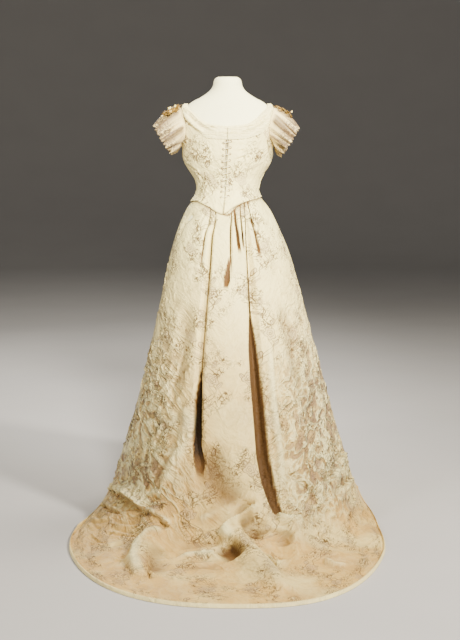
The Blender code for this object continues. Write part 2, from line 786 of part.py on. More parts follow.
def guide(values):
    """A place from its metres at the waist, hip, knee, ankle and hem."""
    values = (values[0], *values)
    return lambda level: read_curve(PLACE_KNOTS, values, level)


def share_place(share, side):
    """A place at a share of the half girth: up to 1 on the back half, then to the front."""
    return lambda level: side * share * back_length(level)


def between(first, second, share):
    return lambda level: lerp(first(level), second(level), share)


def moved(place, step):
    return lambda level: place(level) + step


def station_point(row, place):
    """A point of the bare skirt at a station."""
    station = STATIONS[row]
    distance = place(row)
    side = -1 if distance < 0 else 1
    share = abs(distance) / BACK_LENGTHS[row]
    if share > 1:
        arc = FRONT_ARCS[row]
        x, y = read_arc(arc, arc[1][-1] * (2 - share))
        height = lerp(station.side_z, station.front_z, smooth(share - 1))
    else:
        x, y = read_arc(BACK_ARCS[row], abs(distance))
        y = -y
        height = lerp(station.back_z, station.side_z, share**3)
    if row >= BODY_COUNT:
        sway = station.sway
        if sway is None:
            sway = read_curve([s.y for s in FLOOR_SWAY], [s.shift for s in FLOOR_SWAY], y)
        return Vector((side * x + sway, y, height))
    reach = station.front if share > 1 else station.back
    angle = math.degrees(math.atan2(side * x / station.side, -y / reach))
    body_row = BODY_ROWS[row]
    if body_row.below_edge is None:
        height = SKIRT_TOP
    else:
        height = edge_height(BASQUE_EDGE, angle) - body_row.below_edge
    return body_point(angle, height, body_row.off)


def skirt_bare(place, level):
    """A point of the skirt without folds, at a level between stations."""
    i = min(int(level), LAST_ROW - 1)
    t = level - i
    before = station_point(max(i - 1, 0), place)
    a = station_point(i, place)
    b = station_point(i + 1, place)
    after = station_point(min(i + 2, LAST_ROW), place)
    t2, t3 = t * t, t * t * t
    slope_a, slope_b = (b - before) / 2, (after - a) / 2
    point = (2 * t3 - 3 * t2 + 1) * a + (t3 - 2 * t2 + t) * slope_a
    return point + (3 * t2 - 2 * t3) * b + (t3 - t2) * slope_b


def surface_normal(surface, place, level):
    """Outward normal of a skirt surface, from points close by."""
    low = min(level + 0.04, LAST_ROW)
    high = max(level - 0.04, 0)
    along = surface(moved(place, 0.002), level) - surface(moved(place, -0.002), level)
    up = surface(place, high) - surface(place, low)
    return along.cross(up).normalized()


def ridge_distance(point, ridge):
    """Distance in plan from a point to a ridge's line, and the share along it."""
    dx, dy = ridge.x1 - ridge.x0, ridge.y1 - ridge.y0
    along = ((point.x - ridge.x0) * dx + (point.y - ridge.y0) * dy) / (dx * dx + dy * dy)
    along = min(max(along, 0.0), 1.0)
    away = math.hypot(point.x - ridge.x0 - along * dx, point.y - ridge.y0 - along * dy)
    return away, along


def train_rise(point, level):
    """Height of the train's ridges over the floor. It dies away at the hem."""
    rise = 0.0
    for ridge in RIDGES:
        away, along = ridge_distance(point, ridge)
        bell = math.exp(-((away / ridge.half) ** 2))
        rise += ridge.rise * bell * (0.45 + 0.55 * math.sin(math.pi * along))
    return rise * smooth((LAST_ROW - level) / 0.7) * smooth((level - 8.2) / 1.2)


def pleat_half(pleat, level):
    return lerp(pleat.half_top, pleat.half_low, smooth((level - 2) / PLEAT_WIDEN))


def pleat_depth(distance, level):
    """How far the cloth lies in from the bare skirt, in the pleats of the centre back."""
    deep = 0.0
    for pleat in PLEATS:
        run = (level - pleat.first) / (pleat.last - pleat.first)
        if run >= 1:
            continue
        half = pleat_half(pleat, level)
        away = abs(distance - guide(pleat[:5])(level)) / half
        if away >= 1:
            continue
        depth = lerp(pleat.deep_top, pleat.deep_low, smooth(run * 2))
        start = smooth((level - pleat.first) / PLEAT_START)
        end = smooth((1 - run) / 0.4)
        bell = (1 - away * away) ** 1.5
        deep = max(deep, bell * (TOP_PLEAT + depth * start * end))
    return deep


def skirt_point(place, level):
    """A point of the skirt's outer face."""
    point = skirt_bare(place, level)
    deep = pleat_depth(place(level), level)
    if deep > 0:
        point = point - surface_normal(skirt_bare, place, level) * deep
    if level > 8.2:
        point.z += train_rise(point, level)
        point.z = max(point.z, CLOTH)
    return point


def skirt_panel(name, places, levels, look):
    outer, inner = [], []
    for level in reversed(levels):
        outer_line = [skirt_point(place, level) for place in places]
        inner_line = []
        for place, point in zip(places, outer_line):
            inside = point - surface_normal(skirt_point, place, level) * CLOTH
            inside.z = 0.0 if level == LAST_ROW else max(inside.z, 0.0)
            inner_line.append(inside)
        outer.append(outer_line)
        inner.append(inner_line)
    grid_wall(name, outer, inner, (SEAM / 2, SEAM / 2), look)


DEEP_PLEAT = 0.020             # pleats deeper than this get more columns
WIDE_GAPS = (0, 1, 2, 6)             # pleats with one more column before them
LEVELS = (0, 1, 2, 2.5, 3, 3.5, 4, 4.5, 5, 6, 7, 8, 8.5, 9, 9.5, 10, 10.5, 11, 11.4, 11.7, 12)
SIDE_LEVELS = (0, 1, 2, 3, 4, 5, 6, 7, 8, 8.5, 9, 9.5, 10, 10.5, 11, 11.4, 11.7, 12)
FRONT_LEVELS = (0, 1, 2, 3, 4, 5, 6, 7, 8, 9, 10, 11, 12)


def across_pleat(pleat, step):
    """A column at a number of half widths from the middle of a pleat."""
    middle = guide(pleat[:5])
    return lambda level: middle(level) + step * pleat_half(pleat, level)


def pleated_places():
    """Columns of the pleated panel, some across each pleat."""
    columns = [guide(BACK_SEAMS[0])]
    for number, pleat in enumerate(PLEATS):
        deep = pleat.deep_low > DEEP_PLEAT
        steps = (-1.0, -0.5, 0.0, 0.5, 1.0) if deep else (-1.0, 0.0, 1.0)
        across = [across_pleat(pleat, step) for step in steps]
        if number in WIDE_GAPS:
            columns.append(between(columns[-1], across[0], 0.5))
        columns += across
    columns.append(guide(BACK_SEAMS[1]))
    return columns


def make_skirt(look):
    skirt_panel("skirt_back", pleated_places(), LEVELS, look)
    for side, word, edge in ((-1, "left", BACK_SEAMS[0]), (1, "right", BACK_SEAMS[1])):
        seam = guide(edge)
        side_seam = share_place(SIDE_BACK_SEAM, side)
        places = [between(seam, side_seam, k / 8) for k in range(9)][::side]
        skirt_panel(f"skirt_side_back_{word}", places, LEVELS, look)
        shares = [lerp(SIDE_BACK_SEAM, SIDE_FRONT_SEAM, k / 9) for k in range(10)]
        places = [share_place(share, side) for share in shares][::side]
        skirt_panel(f"skirt_side_{word}", places, SIDE_LEVELS, look)
    shares = [lerp(SIDE_FRONT_SEAM, 2.0, k / 6) for k in range(7)]
    places = [share_place(share, 1) for share in shares]
    places += [share_place(share, -1) for share in shares[-2::-1]]
    skirt_panel("skirt_front", places, FRONT_LEVELS, look)


# Lacing, one short strand for each pair of eyelets


LACE_RINGS = 5
LACE_SIDES = 6


def back_face(angle, height):
    """A point of the back panels' outer face, on the straight line between two rows."""
    bottom = edge_height(BASQUE_EDGE, angle - CENTRE_DRIFT)
    top = edge_height(CHEST_LINE, 0)
    rows = [lerp(bottom, top, share) for share in LOW_ROWS]
    i = next(k for k in range(len(rows) - 1) if height <= rows[k + 1])
    low, high = [body_point(angle, h, bodice_off(h) + CLOTH) for h in rows[i : i + 2]]
    return low.lerp(high, (height - rows[i]) / (rows[i + 1] - rows[i]))


def make_lacing(look):
    bottom = edge_height(BASQUE_EDGE, 0)
    chest = edge_height(CHEST_LINE, 0)
    for number in range(LACE_COUNT):
        height = LACE_TOP - LACE_PITCH * number
        half_width = body_sizes(height)[0]
        middle = centre_angle((height - bottom) / (chest - bottom))
        builder = bmesh.new()
        rings = []
        for i in range(LACE_RINGS):
            share = i / (LACE_RINGS - 1)
            across = lerp(-LACE_HALF_SPAN, LACE_HALF_SPAN, share)
            angle = middle + math.degrees(math.asin(across / half_width))
            level = height + LACE_SLANT * share
            centre = back_face(angle, level) - Vector((0, LACE_RADIUS + LACE_CLEAR, 0))
            ring = []
            for k in range(LACE_SIDES):
                turn = 2 * math.pi * k / LACE_SIDES
                way = Vector((0, math.cos(turn), math.sin(turn))) * LACE_RADIUS
                ring.append(builder.verts.new(centre + way))
            rings.append(ring)
        for a, b in zip(rings, rings[1:]):
            for j in range(LACE_SIDES):
                k = (j + 1) % LACE_SIDES
                builder.faces.new((a[j], a[k], b[k], b[j]))
        builder.faces.new(rings[0])
        builder.faces.new(rings[-1])
        make_object(f"lace_{number + 1:02d}", builder, look)


# Orange blossom sprays: leaves and wax buds joined into one solid


def make_lump(name, lump, side, lean, look):
    """An egg-shaped leaf or bud over the sleeve's ruffles."""
    turn = lump.turn + lean
    centre = sleeve_point(side, turn, lump.share, ruffle=SLEEVE_WAVE_HEIGHT)
    along = sleeve_point(side, turn, lump.share + 0.05, ruffle=0.0)
    along = (along - sleeve_point(side, turn, lump.share - 0.05, ruffle=0.0)).normalized()
    up = Vector((0, 0, 1))
    up = (up - along * up.dot(along)).normalized()
    across = along.cross(up)
    centre = centre + up * lump.lift
    builder = bmesh.new()
    bmesh.ops.create_icosphere(builder, subdivisions=2, radius=1.0)
    for vert in builder.verts:
        x, y, z = vert.co
        shift = along * (x * lump.long) + across * (y * lump.wide) + up * (z * lump.thick)
        vert.co = centre + shift
    return make_object(name, builder, look)


def make_spray(side, word, lean, look):
    name = f"blossom_{word}"
    spray = make_lump(name, SPRAY[0], side, lean, look)
    for number, lump in enumerate(SPRAY[1:], start=1):
        cutter = make_lump(f"{name}_lump_{number}", lump, side, lean, look)
        cutter.hide_render = True
        join = spray.modifiers.new(f"join_{number}", "BOOLEAN")
        join.operation = "UNION"
        join.object = cutter


def main():
    clear_scene()
    silk = material("ivory_brocade", (0.83, 0.78, 0.67), 0.42)
    chiffon = material("silk_chiffon", (0.86, 0.82, 0.73), 0.6)
    lace = material("silk_lace", (0.84, 0.77, 0.66), 0.6)
    cord = material("silk_cord", (0.85, 0.80, 0.68), 0.5)
    wax = material("wax_blossom", (0.80, 0.62, 0.30), 0.35)
    jersey = material("form_cover", (0.93, 0.90, 0.80), 0.7)
    steel = material("stand_steel", (0.12, 0.12, 0.12), 0.45, 0.6)
    make_form(jersey)
    make_stand(steel)
    make_bodice(silk)
    make_bertha(chiffon)
    make_sleeve(1, "right", lace)
    make_sleeve(-1, "left", lace)
    make_skirt(silk)
    make_lacing(cord)
    make_spray(1, "right", SPRAY_TURN_RIGHT, wax)
    make_spray(-1, "left", SPRAY_TURN_LEFT, wax)


main()
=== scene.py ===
"""Looks of a brocaded silk wedding dress of the 1890s on a limbless dress form.

Metres, +Z up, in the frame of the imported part. The laced back and the train are at -Y, and the
wearer's left is at -X. Angles round the body are in degrees: 0 is the centre back, 90 the
wearer's right side and 180 the centre front. Each cloth piece is a thin shell on the form of
its solid, with finer folds, creases and edges.
"""

import math
from collections import namedtuple

import bmesh
import bpy
import numpy as np
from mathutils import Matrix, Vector, noise


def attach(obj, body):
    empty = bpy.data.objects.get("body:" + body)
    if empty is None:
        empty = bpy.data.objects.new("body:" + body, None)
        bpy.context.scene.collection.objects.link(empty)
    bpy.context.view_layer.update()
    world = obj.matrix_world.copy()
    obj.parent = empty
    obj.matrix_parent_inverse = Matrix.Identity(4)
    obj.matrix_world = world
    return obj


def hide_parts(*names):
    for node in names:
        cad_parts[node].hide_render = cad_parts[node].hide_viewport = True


# Driving dimensions of the cloth
CLOTH = 0.0020                 # wall of the bodice, skirt and neckline band
SEAM = 0.0005                  # space between two panels at a seam
CLEAR = 0.0009                 # space between a piece and the one it lies on

# Driving dimensions of the bodice
WAIST_HEIGHT = 1.090
BODICE_OFF_CHEST = 0.0016      # inside of the bodice, out from the body, above the waist
BODICE_OFF_WAIST = 0.0064      # the same below the waist, where the skirt lies under it
BODICE_EASE_TOP = 1.130        # the offset changes between this height and the waist
CENTRE_DRIFT = -6.0            # the laced edges lean to the wearer's left, degrees at the hem

# Driving dimensions of the skirt
SKIRT_TOP = 1.084
TRAIN_REACH = 1.190
TRAIN_HALF_WIDTH = 0.452       # at the sides; it flares to 0.490 behind them
FRONT_REACH = 0.412

FORM_BOTTOM = 0.800
FORM_OFF = -0.0012             # surface of the dress form, out from the body sections


def table(kind, *rows):
    """A table whose rows have named numbers."""
    return tuple(kind(*row) for row in rows)


Section = namedtuple("Section", "height half_width back front")
BODY_SECTIONS = table(
    Section,
    (0.800, 0.1680, 0.1400, 0.1180), (0.860, 0.1710, 0.1430, 0.1180),
    (0.920, 0.1650, 0.1380, 0.1140), (0.970, 0.1545, 0.1270, 0.1090),
    (1.006, 0.1415, 0.1130, 0.1040), (1.040, 0.1215, 0.0970, 0.0970),
    (1.065, 0.1060, 0.0860, 0.0910), (1.090, 0.1000, 0.0800, 0.0880),
    (1.115, 0.1060, 0.0830, 0.0900), (1.145, 0.1235, 0.0900, 0.1000),
    (1.175, 0.1430, 0.0970, 0.1120), (1.200, 0.1515, 0.1010, 0.1200),
    (1.230, 0.1530, 0.1030, 0.1210), (1.260, 0.1600, 0.1030, 0.1150),
    (1.290, 0.1680, 0.1000, 0.1060), (1.315, 0.1715, 0.0940, 0.0960),
    (1.335, 0.1690, 0.0840, 0.0850), (1.354, 0.1590, 0.0720, 0.0750),
    (1.371, 0.1410, 0.0610, 0.0660), (1.388, 0.1180, 0.0530, 0.0600),
    (1.398, 0.0980, 0.0500, 0.0580), (1.409, 0.0800, 0.0480, 0.0570),
    (1.418, 0.0675, 0.0460, 0.0560), (1.428, 0.0575, 0.0450, 0.0550),
    (1.440, 0.0510, 0.0440, 0.0540), (1.455, 0.0480, 0.0420, 0.0520),
    (1.465, 0.0420, 0.0360, 0.0460), (1.470, 0.0330, 0.0280, 0.0370),
)
BUST_HEIGHT = 1.205
BUST_ANGLE = 145.0             # each side of the front
BUST_RISE = 0.016
BUST_WIDTH = 24.0              # degrees
BUST_TALL = 0.042
FORM_BUST = 0.9                # share of the bust's rise that the dress form has

# Edges of the bodice, as heights by angle from the centre back. A table that starts at 0 is
# alike on both sides. The others go from the wearer's left side, at -90, round the back.
Edge = namedtuple("Edge", "angle height")
BASQUE_EDGE = table(
    Edge,
    (-90, 1.041), (-72, 1.044), (-56, 1.045), (-29, 1.029), (-17, 1.016), (-8, 1.008),
    (0, 1.004), (5, 1.011), (11, 1.024), (19, 1.035), (30, 1.045), (60, 1.054), (90, 1.057),
    (140, 1.036), (168, 0.998), (180, 0.986), (192, 0.996), (220, 1.027), (270, 1.041),
)
NECK_EDGE = table(
    Edge,
    (0, 1.2956), (23, 1.304), (34, 1.321), (46, 1.343), (66, 1.361), (90, 1.371), (114, 1.360),
    (134, 1.336), (152, 1.304), (180, 1.276),
)
# The row of the bodice that runs between the two armholes
CHEST_LINE = table(
    Edge,
    (0, 1.262), (30, 1.276), (57, 1.301), (123, 1.301), (150, 1.268), (180, 1.242),
)
# The seam beside each back panel, up to the armhole
BACK_SEAM = table(
    Edge,
    (27, 1.020), (23, 1.090), (26, 1.140), (34, 1.200), (45, 1.258), (57, 1.301),
)
SIDE_SEAM_ANGLE = 90.0
ARMHOLE_HEIGHT = 1.301
ARMHOLE_HALF_HEIGHT = 0.056
ARMHOLE_HALF_ANGLE = 33.0

# The neckline band lies on the bodice, between the neck edge and this lower edge
BERTHA_EDGE = table(
    Edge,
    (-90, 1.3645), (-74, 1.358), (-60, 1.338), (-46, 1.309), (-34, 1.285), (-27, 1.268),
    (-20, 1.263), (0, 1.260), (20, 1.262), (34, 1.272), (44, 1.283), (51, 1.302), (58, 1.336),
    (74, 1.358), (90, 1.3645), (106, 1.358), (120, 1.338), (134, 1.296), (152, 1.258),
    (180, 1.236), (208, 1.258), (226, 1.296), (240, 1.338), (254, 1.358), (270, 1.3645),
)
BERTHA_ARM_CLEAR = 0.0024      # more space under it near the armholes

# Skirt rows, from the waist to the hem. The upper ones lie on the body, at a distance from
# the bodice's lower edge. The others give a height and a reach at the centre back, the side
# and the centre front.
BodyRow = namedtuple("BodyRow", "below_edge off")
BODY_ROWS = table(
    BodyRow,
    (None, 0.0030),     # at the skirt's top
    (-0.014, 0.0034),
    (0.006, 0.0048),
)
# Square is 2 for an ellipse and more for a squarer row. Flare widens a row behind its sides,
# and sway moves it to the wearer's right.
Station = namedtuple("Station", "back_z side_z front_z back side front square flare sway")
LOW_STATIONS = table(
    Station,
    (0.976, 1.014, 0.958, 0.1510, 0.1460, 0.118, 2.00, 0.000, 0.002),
    (0.935, 0.945, 0.925, 0.1750, 0.1780, 0.137, 2.00, 0.000, 0.004),
    (0.840, 0.850, 0.860, 0.2280, 0.2110, 0.168, 2.00, 0.000, 0.009),
    (0.680, 0.700, 0.720, 0.3020, 0.2480, 0.214, 2.05, 0.000, 0.014),
    (0.480, 0.510, 0.540, 0.3980, 0.2950, 0.268, 2.10, 0.000, 0.018),
    (0.260, 0.310, 0.360, 0.5080, 0.3480, 0.318, 2.25, 0.000, 0.020),
    (0.095, 0.150, 0.210, 0.6220, 0.3980, 0.358, 2.35, 0.030, 0.020),
    (0.022, 0.060, 0.110, 0.7350, 0.4260, 0.385, 2.45, 0.100, None),
    (0.003, 0.022, 0.045, 0.9200, 0.4430, 0.402, 2.55, 0.160, None),
    (0.002, 0.000, 0.000, TRAIN_REACH, TRAIN_HALF_WIDTH, FRONT_REACH, 2.60, 0.185, None),
)
Sway = namedtuple("Sway", "y shift")
# Sideways lie of the train, where a row has no sway of its own
FLOOR_SWAY = table(
    Sway,
    (-1.190, 0.028), (-1.080, 0.013), (-0.920, 0.004), (-0.650, 0.000), (-0.430, 0.001),
    (-0.300, 0.013), (-0.180, 0.020), (0.420, 0.020),
)
RIDGE_END = 0.45               # share of its height that a ridge keeps at its ends
FLARE_START = 0.6              # share of a row's reach where its flare is whole
# Rows, besides the waist, at which places round the skirt are given
HIP_ROW, KNEE_ROW, ANKLE_ROW, HEM_ROW = 5, 7, 9, 12

# Pleats of the centre back. Places are metres from the centre back, round the skirt, minus to
# the wearer's left. Half widths and depths are given at the top and low down. First and last are
# levels: a level counts the rows of the skirt down from its top, with shares between them.
Pleat = namedtuple(
    "Pleat", "waist hip knee ankle hem half_top half_low deep_top deep_low first last"
)
PLEATS = table(
    Pleat,
    (-0.060, -0.104, -0.160, -0.200, -0.290, 0.007, 0.010, 0.010, 0.008, 1.8, 5.2),
    (-0.040, -0.075, -0.115, -0.104, -0.090, 0.007, 0.020, 0.012, 0.034, 1.85, 9.4),
    (0.012, 0.002, -0.008, -0.012, -0.010, 0.006, 0.010, 0.008, 0.012, 1.8, 5.6),
    (0.027, 0.032, 0.023, 0.026, 0.040, 0.006, 0.009, 0.011, 0.012, 1.85, 5.0),
    (0.046, 0.045, 0.042, 0.054, 0.085, 0.005, 0.005, 0.007, 0.006, 1.8, 4.3),
    (0.066, 0.068, 0.082, 0.112, 0.190, 0.007, 0.026, 0.011, 0.038, 1.85, 9.6),
    (0.085, 0.108, 0.140, 0.200, 0.310, 0.007, 0.012, 0.010, 0.010, 1.85, 4.8),
)
TOP_PLEAT = 0.0006             # depth of the pleats where the bodice covers them
PLEAT_START = 1.1              # rows over which a pleat deepens
PLEAT_WIDEN = 6.0              # rows over which a pleat comes to its low width
PLEAT_END = 0.4                # share of a pleat's length over which it ends
# Seams at the sides of the pleated panel, as places at the waist and at those rows
BACK_SEAMS = (
    (-0.105, -0.150, -0.200, -0.300, -0.440),
    (0.105, 0.150, 0.200, 0.300, 0.440),
)
SIDE_BACK_SEAM = 0.93          # share of the back half's girth
SIDE_FRONT_SEAM = 1.52         # 1 is the side and 2 the centre front

# Ridges of the train on the floor: two ends, half width and height
Ridge = namedtuple("Ridge", "x0 y0 x1 y1 half rise")
RIDGES = table(
    Ridge,
    (-0.010, -0.560, 0.150, -1.020, 0.042, 0.036),
    (-0.020, -0.620, 0.110, -0.480, 0.036, 0.030),
    (-0.250, -0.900, -0.235, -0.560, 0.042, 0.030),
    (-0.235, -0.560, -0.120, -0.520, 0.040, 0.022),
    (0.215, -0.520, 0.215, -0.800, 0.038, 0.024),
    (0.250, -0.700, 0.400, -0.760, 0.045, 0.014),
)

# Sleeves. Both are given as on the right side.
SLEEVE_WALL = 0.0012
CUFF_CENTRE_LEFT = (0.2190, -0.004, 1.2530)
CUFF_CENTRE_RIGHT = (0.2130, -0.004, 1.2500)
CUFF_TOP_DIRECTION = (0.526, 0.0, 0.850)
CUFF_HALF_HEIGHT = 0.0480
CUFF_HALF_DEPTH = 0.0820
SLEEVE_PUFF = 0.016
SLEEVE_WAVES = 12
SLEEVE_WAVE_HEIGHT = 0.0075
SLEEVE_SCALLOP = 0.0060

# Lacing
LACE_COUNT = 10
LACE_TOP = 1.2455
LACE_PITCH = 0.0208
LACE_HALF_SPAN = 0.0115
LACE_SLANT = 0.0055            # the right eyelet is this much higher than the left one
LACE_RADIUS = 0.0011
LACING_GAP = 0.0030            # space between the two laced edges

# Where the buds of an orange blossom spray lie on its sleeve. Turn is 90 on top of the sleeve
# and more toward the back, share runs down it and lift is over it.
Lump = namedtuple("Lump", "turn share lift")
BUD_LUMPS = table(
    Lump,
    (86, 0.14, 0.0100), (100, 0.22, 0.0100), (90, 0.32, 0.0105), (103, 0.39, 0.0095),
    (92, 0.48, 0.0095), (103, 0.54, 0.0085),
)
SPRAY_TURN_LEFT = 6.0          # how far each spray lies toward the back
SPRAY_TURN_RIGHT = -16.0

# Camera of the photograph. Its focal length is in pixels of the photograph's frame.
CAMERA_PLACE = (0.0083, -4.8191, 1.2596)
CAMERA_TILT = 0.1295           # radians below the horizon
PHOTO_SIZE = (460, 640)
FOCAL_PIXELS = 1391.5
SENSOR = 36.0

# Curves and points, for arrays of places
SHARP_ANGLE = math.radians(60)  # edges that turn by more than this aren't shaded smooth
NORMAL_STEP = 0.002            # heights this far apart give the way up the body


def lerp(a, b, share):
    return a + (b - a) * share


def smooth(share):
    share = np.clip(share, 0.0, 1.0)
    return share * share * (3.0 - 2.0 * share)


def bell(away):
    """A soft bump: 1 at the middle and 0 from a distance of 1."""
    return np.clip(1.0 - away * away, 0.0, 1.0) ** 2


def spline(t, start, start_slope, end, end_slope):
    """A cubic from one value to the next, as its share t runs from 0 to 1."""
    t2, t3 = t * t, t * t * t
    made = (2 * t3 - 3 * t2 + 1) * start + (t3 - 2 * t2 + t) * start_slope
    return made + (3 * t2 - 2 * t3) * end + (t3 - t2) * end_slope


def read_curve(knots, values, at):
    """Values at some places of a smooth curve through the values at the knots."""
    knots, values = np.asarray(knots, float), np.asarray(values, float)
    last = len(knots) - 1
    number = np.arange(last + 1)
    low, high = np.maximum(number - 1, 0), np.minimum(number + 1, last)
    slopes = (values[high] - values[low]) / (knots[high] - knots[low])
    at = np.clip(at, knots[0], knots[-1])
    i = np.clip(np.searchsorted(knots, at, side="left") - 1, 0, last - 1)
    span = knots[i + 1] - knots[i]
    share = (at - knots[i]) / span
    return spline(share, values[i], span * slopes[i], values[i + 1], span * slopes[i + 1])


def edge_height(edge, angle):
    """Heights of an edge at angles round the body."""
    if edge[0].angle == 0:
        angle = np.abs((np.asarray(angle, float) + 180) % 360 - 180)
    else:
        angle = (np.asarray(angle, float) + 90) % 360 - 90
    return read_curve([e.angle for e in edge], [e.height for e in edge], angle)


BODY_HEIGHTS = [s.height for s in BODY_SECTIONS]


def body_sizes(height):
    return [
        read_curve(BODY_HEIGHTS, [getattr(s, size) for s in BODY_SECTIONS], height)
        for size in ("half_width", "back", "front")
    ]


def joined(x, y, z):
    """Points from separate arrays of coordinates."""
    return np.stack(np.broadcast_arrays(x, y, z), axis=-1).astype(float)


def unit(ways):
    length = np.linalg.norm(ways, axis=-1, keepdims=True)
    return ways / np.maximum(length, 1e-12)


def body_flat_point(angle, height):
    half_width, back, front = body_sizes(height)
    turn = np.radians(angle)
    depth = np.where(np.cos(turn) > 0, back, front)
    return joined(half_width * np.sin(turn), -depth * np.cos(turn), height)


def bust(angle, height):
    around = np.abs((np.asarray(angle) + 180) % 360 - 180)
    across = (around - BUST_ANGLE) / BUST_WIDTH
    up = (height - BUST_HEIGHT) / BUST_TALL
    return BUST_RISE * np.exp(-across * across - up * up)


def body_normal(angle, height):
    angle, height = np.asarray(angle, float), np.asarray(height, float)
    along = body_flat_point(angle + 1, height) - body_flat_point(angle - 1, height)
    low = np.maximum(height - NORMAL_STEP, BODY_HEIGHTS[0])
    high = np.minimum(height + NORMAL_STEP, BODY_HEIGHTS[-1])
    up = body_flat_point(angle, high) - body_flat_point(angle, low)
    return unit(np.cross(along, up))


def body_point(angle, height, out, bust_share=1.0):
    rise = out + bust(angle, height) * bust_share
    return body_flat_point(angle, height) + body_normal(angle, height) * rise[..., None]


def rough(points, scale, seed, octaves=3):
    """Smooth uneven numbers, about -1 to 1, at points."""
    flat = (points * scale).reshape(-1, 3)
    made = [noise.fractal(Vector(p) + Vector((seed, 0, 0)), 1.0, 2.0, octaves) for p in flat]
    return np.array(made).reshape(points.shape[:-1])


def photo_place(points):
    """Where points are seen in the photograph, in its pixels."""
    away = points - np.array(CAMERA_PLACE)
    cos, sin = math.cos(CAMERA_TILT), math.sin(CAMERA_TILT)
    deep = away[..., 1] * cos - away[..., 2] * sin
    up = away[..., 1] * sin + away[..., 2] * cos
    across = PHOTO_SIZE[0] / 2 + FOCAL_PIXELS * away[..., 0] / deep
    return np.stack((across, PHOTO_SIZE[1] / 2 - FOCAL_PIXELS * up / deep), axis=-1)


# Thin shells of cloth from grids of points


def grid_normals(grid, wrap=False):
    """Outward normals of a grid with its rows from low to high."""
    if wrap:
        along = np.roll(grid, -1, axis=1) - np.roll(grid, 1, axis=1)
    else:
        along = np.gradient(grid, axis=1)
    return unit(np.cross(along, np.gradient(grid, axis=0)))


def set_in(grid, first, last):
    """Moves a grid's first and last columns in by these distances."""
    grid[:, 0] += unit(grid[:, 1] - grid[:, 0]) * first
    grid[:, -1] += unit(grid[:, -2] - grid[:, -1]) * last


def add_uv(mesh, uv):
    layer = mesh.uv_layers.new(name="cloth")
    corner_vertex = np.zeros(len(mesh.loops), int)
    mesh.loops.foreach_get("vertex_index", corner_vertex)
    layer.data.foreach_set("uv", uv[corner_vertex].astype(np.float32).ravel())


def add_shade(mesh, name, values):
    """A number for each point, which a material reads by its name."""
    layer = mesh.attributes.new(name, "FLOAT", "POINT")
    layer.data.foreach_set("value", np.asarray(values, np.float32).ravel())


def mesh_piece(name, points, faces, look, uv=None, shade=None):
    mesh = bpy.data.meshes.new(name)
    mesh.from_pydata(points.tolist(), [], faces)
    mesh.update()
    if uv is not None:
        add_uv(mesh, uv)
    # The fold attribute holds painted shade, which the looks lay over the cloth's colour
    if shade is not None:
        add_shade(mesh, "fold", shade)
    mesh.materials.append(look)
    mesh.shade_smooth()
    piece = bpy.data.objects.new(name, mesh)
    bpy.context.scene.collection.objects.link(piece)
    return piece


def grid_faces(rows, columns, wrap=False):
    number = np.arange(rows * columns).reshape(rows, columns)
    if wrap:
        number = np.concatenate((number, number[:, :1]), axis=1)
    corners = (number[:-1, :-1], number[:-1, 1:], number[1:, 1:], number[1:, :-1])
    return np.stack([c.ravel() for c in corners], axis=-1)


def closed_shell(name, points, normals, faces, wall, look, uv, shade=None):
    """A closed thin wall on the inside of a surface."""
    count = len(points)
    edges = np.stack((faces, np.roll(faces, -1, axis=1)), axis=-1).reshape(-1, 2)
    forward = edges[:, 0] * count + edges[:, 1]
    backward = edges[:, 1] * count + edges[:, 0]
    rim = edges[~np.isin(forward, backward)]
    sides = np.stack((rim[:, 1], rim[:, 0], rim[:, 0] + count, rim[:, 1] + count), axis=-1)
    all_faces = np.concatenate((faces, faces[:, ::-1] + count, sides)).tolist()
    inner = points - normals * wall
    inner[:, 2] = np.maximum(inner[:, 2], 0.0)
    if shade is not None:
        shade = np.tile(np.asarray(shade).ravel(), 2)
    both = np.concatenate((points, inner))
    piece = mesh_piece(name, both, all_faces, look, np.tile(uv, (2, 1)), shade)
    piece.data.set_sharp_from_angle(angle=SHARP_ANGLE)
    return piece


def shell(name, outer, wall, look, uv, shade=None, wrap=False, flip=False, normals=None):
    """A closed thin wall on the inside of a grid of points."""
    if normals is None:
        normals = grid_normals(outer, wrap) * (-1 if flip else 1)
    faces = grid_faces(*outer.shape[:2], wrap)
    if flip:
        faces = faces[:, ::-1]
    return closed_shell(
        name, outer.reshape(-1, 3), normals.reshape(-1, 3), faces, wall, look,
        uv.reshape(-1, 2), shade,
    )


# The skirt and its train

ARC_SAMPLES = 240
BODY_COUNT = len(BODY_ROWS)
BODY_MEAN_HEIGHTS = (SKIRT_TOP, 1.045, 1.015)


def body_station(height, off):
    half_width, back, front = body_sizes(height)
    sizes = (back + off, half_width + off, front + off)
    return Station(height, height, height, *sizes, square=2.0, flare=0.0, sway=0.0)


STATIONS = (
    *(body_station(h, row.off) for h, row in zip(BODY_MEAN_HEIGHTS, BODY_ROWS)),
    *LOW_STATIONS,
)
LAST_ROW = len(STATIONS) - 1


def quarter_arc(reach, side, square, flare=0.0):
    """A quarter of a squared ellipse, from its end on -Y to its side: its lengths, x and y."""
    turn = np.radians(np.linspace(0, 90, ARC_SAMPLES + 1))
    x = side * np.maximum(np.sin(turn), 0) ** (2 / square)
    y = reach * np.maximum(np.cos(turn), 0) ** (2 / square)
    x = x * (1 + flare * smooth(y / reach / FLARE_START))
    steps = np.hypot(np.diff(x), np.diff(y))
    return np.concatenate(([0.0], np.cumsum(steps))), x, y


BACK_ARCS = [quarter_arc(s.back, s.side, s.square, s.flare) for s in STATIONS]
FRONT_ARCS = [quarter_arc(s.front, s.side, min(s.square, 2.2)) for s in STATIONS]
BACK_LENGTHS = np.array([arc[0][-1] for arc in BACK_ARCS])


def back_length(level):
    row = np.clip(np.floor(level).astype(int), 0, LAST_ROW - 1)
    return lerp(BACK_LENGTHS[row], BACK_LENGTHS[row + 1], level - row)


# A place is a column of the skirt: a function of the level that gives metres round from the
# centre back, minus to the wearer's left. Past the side it goes on with whole half girths.

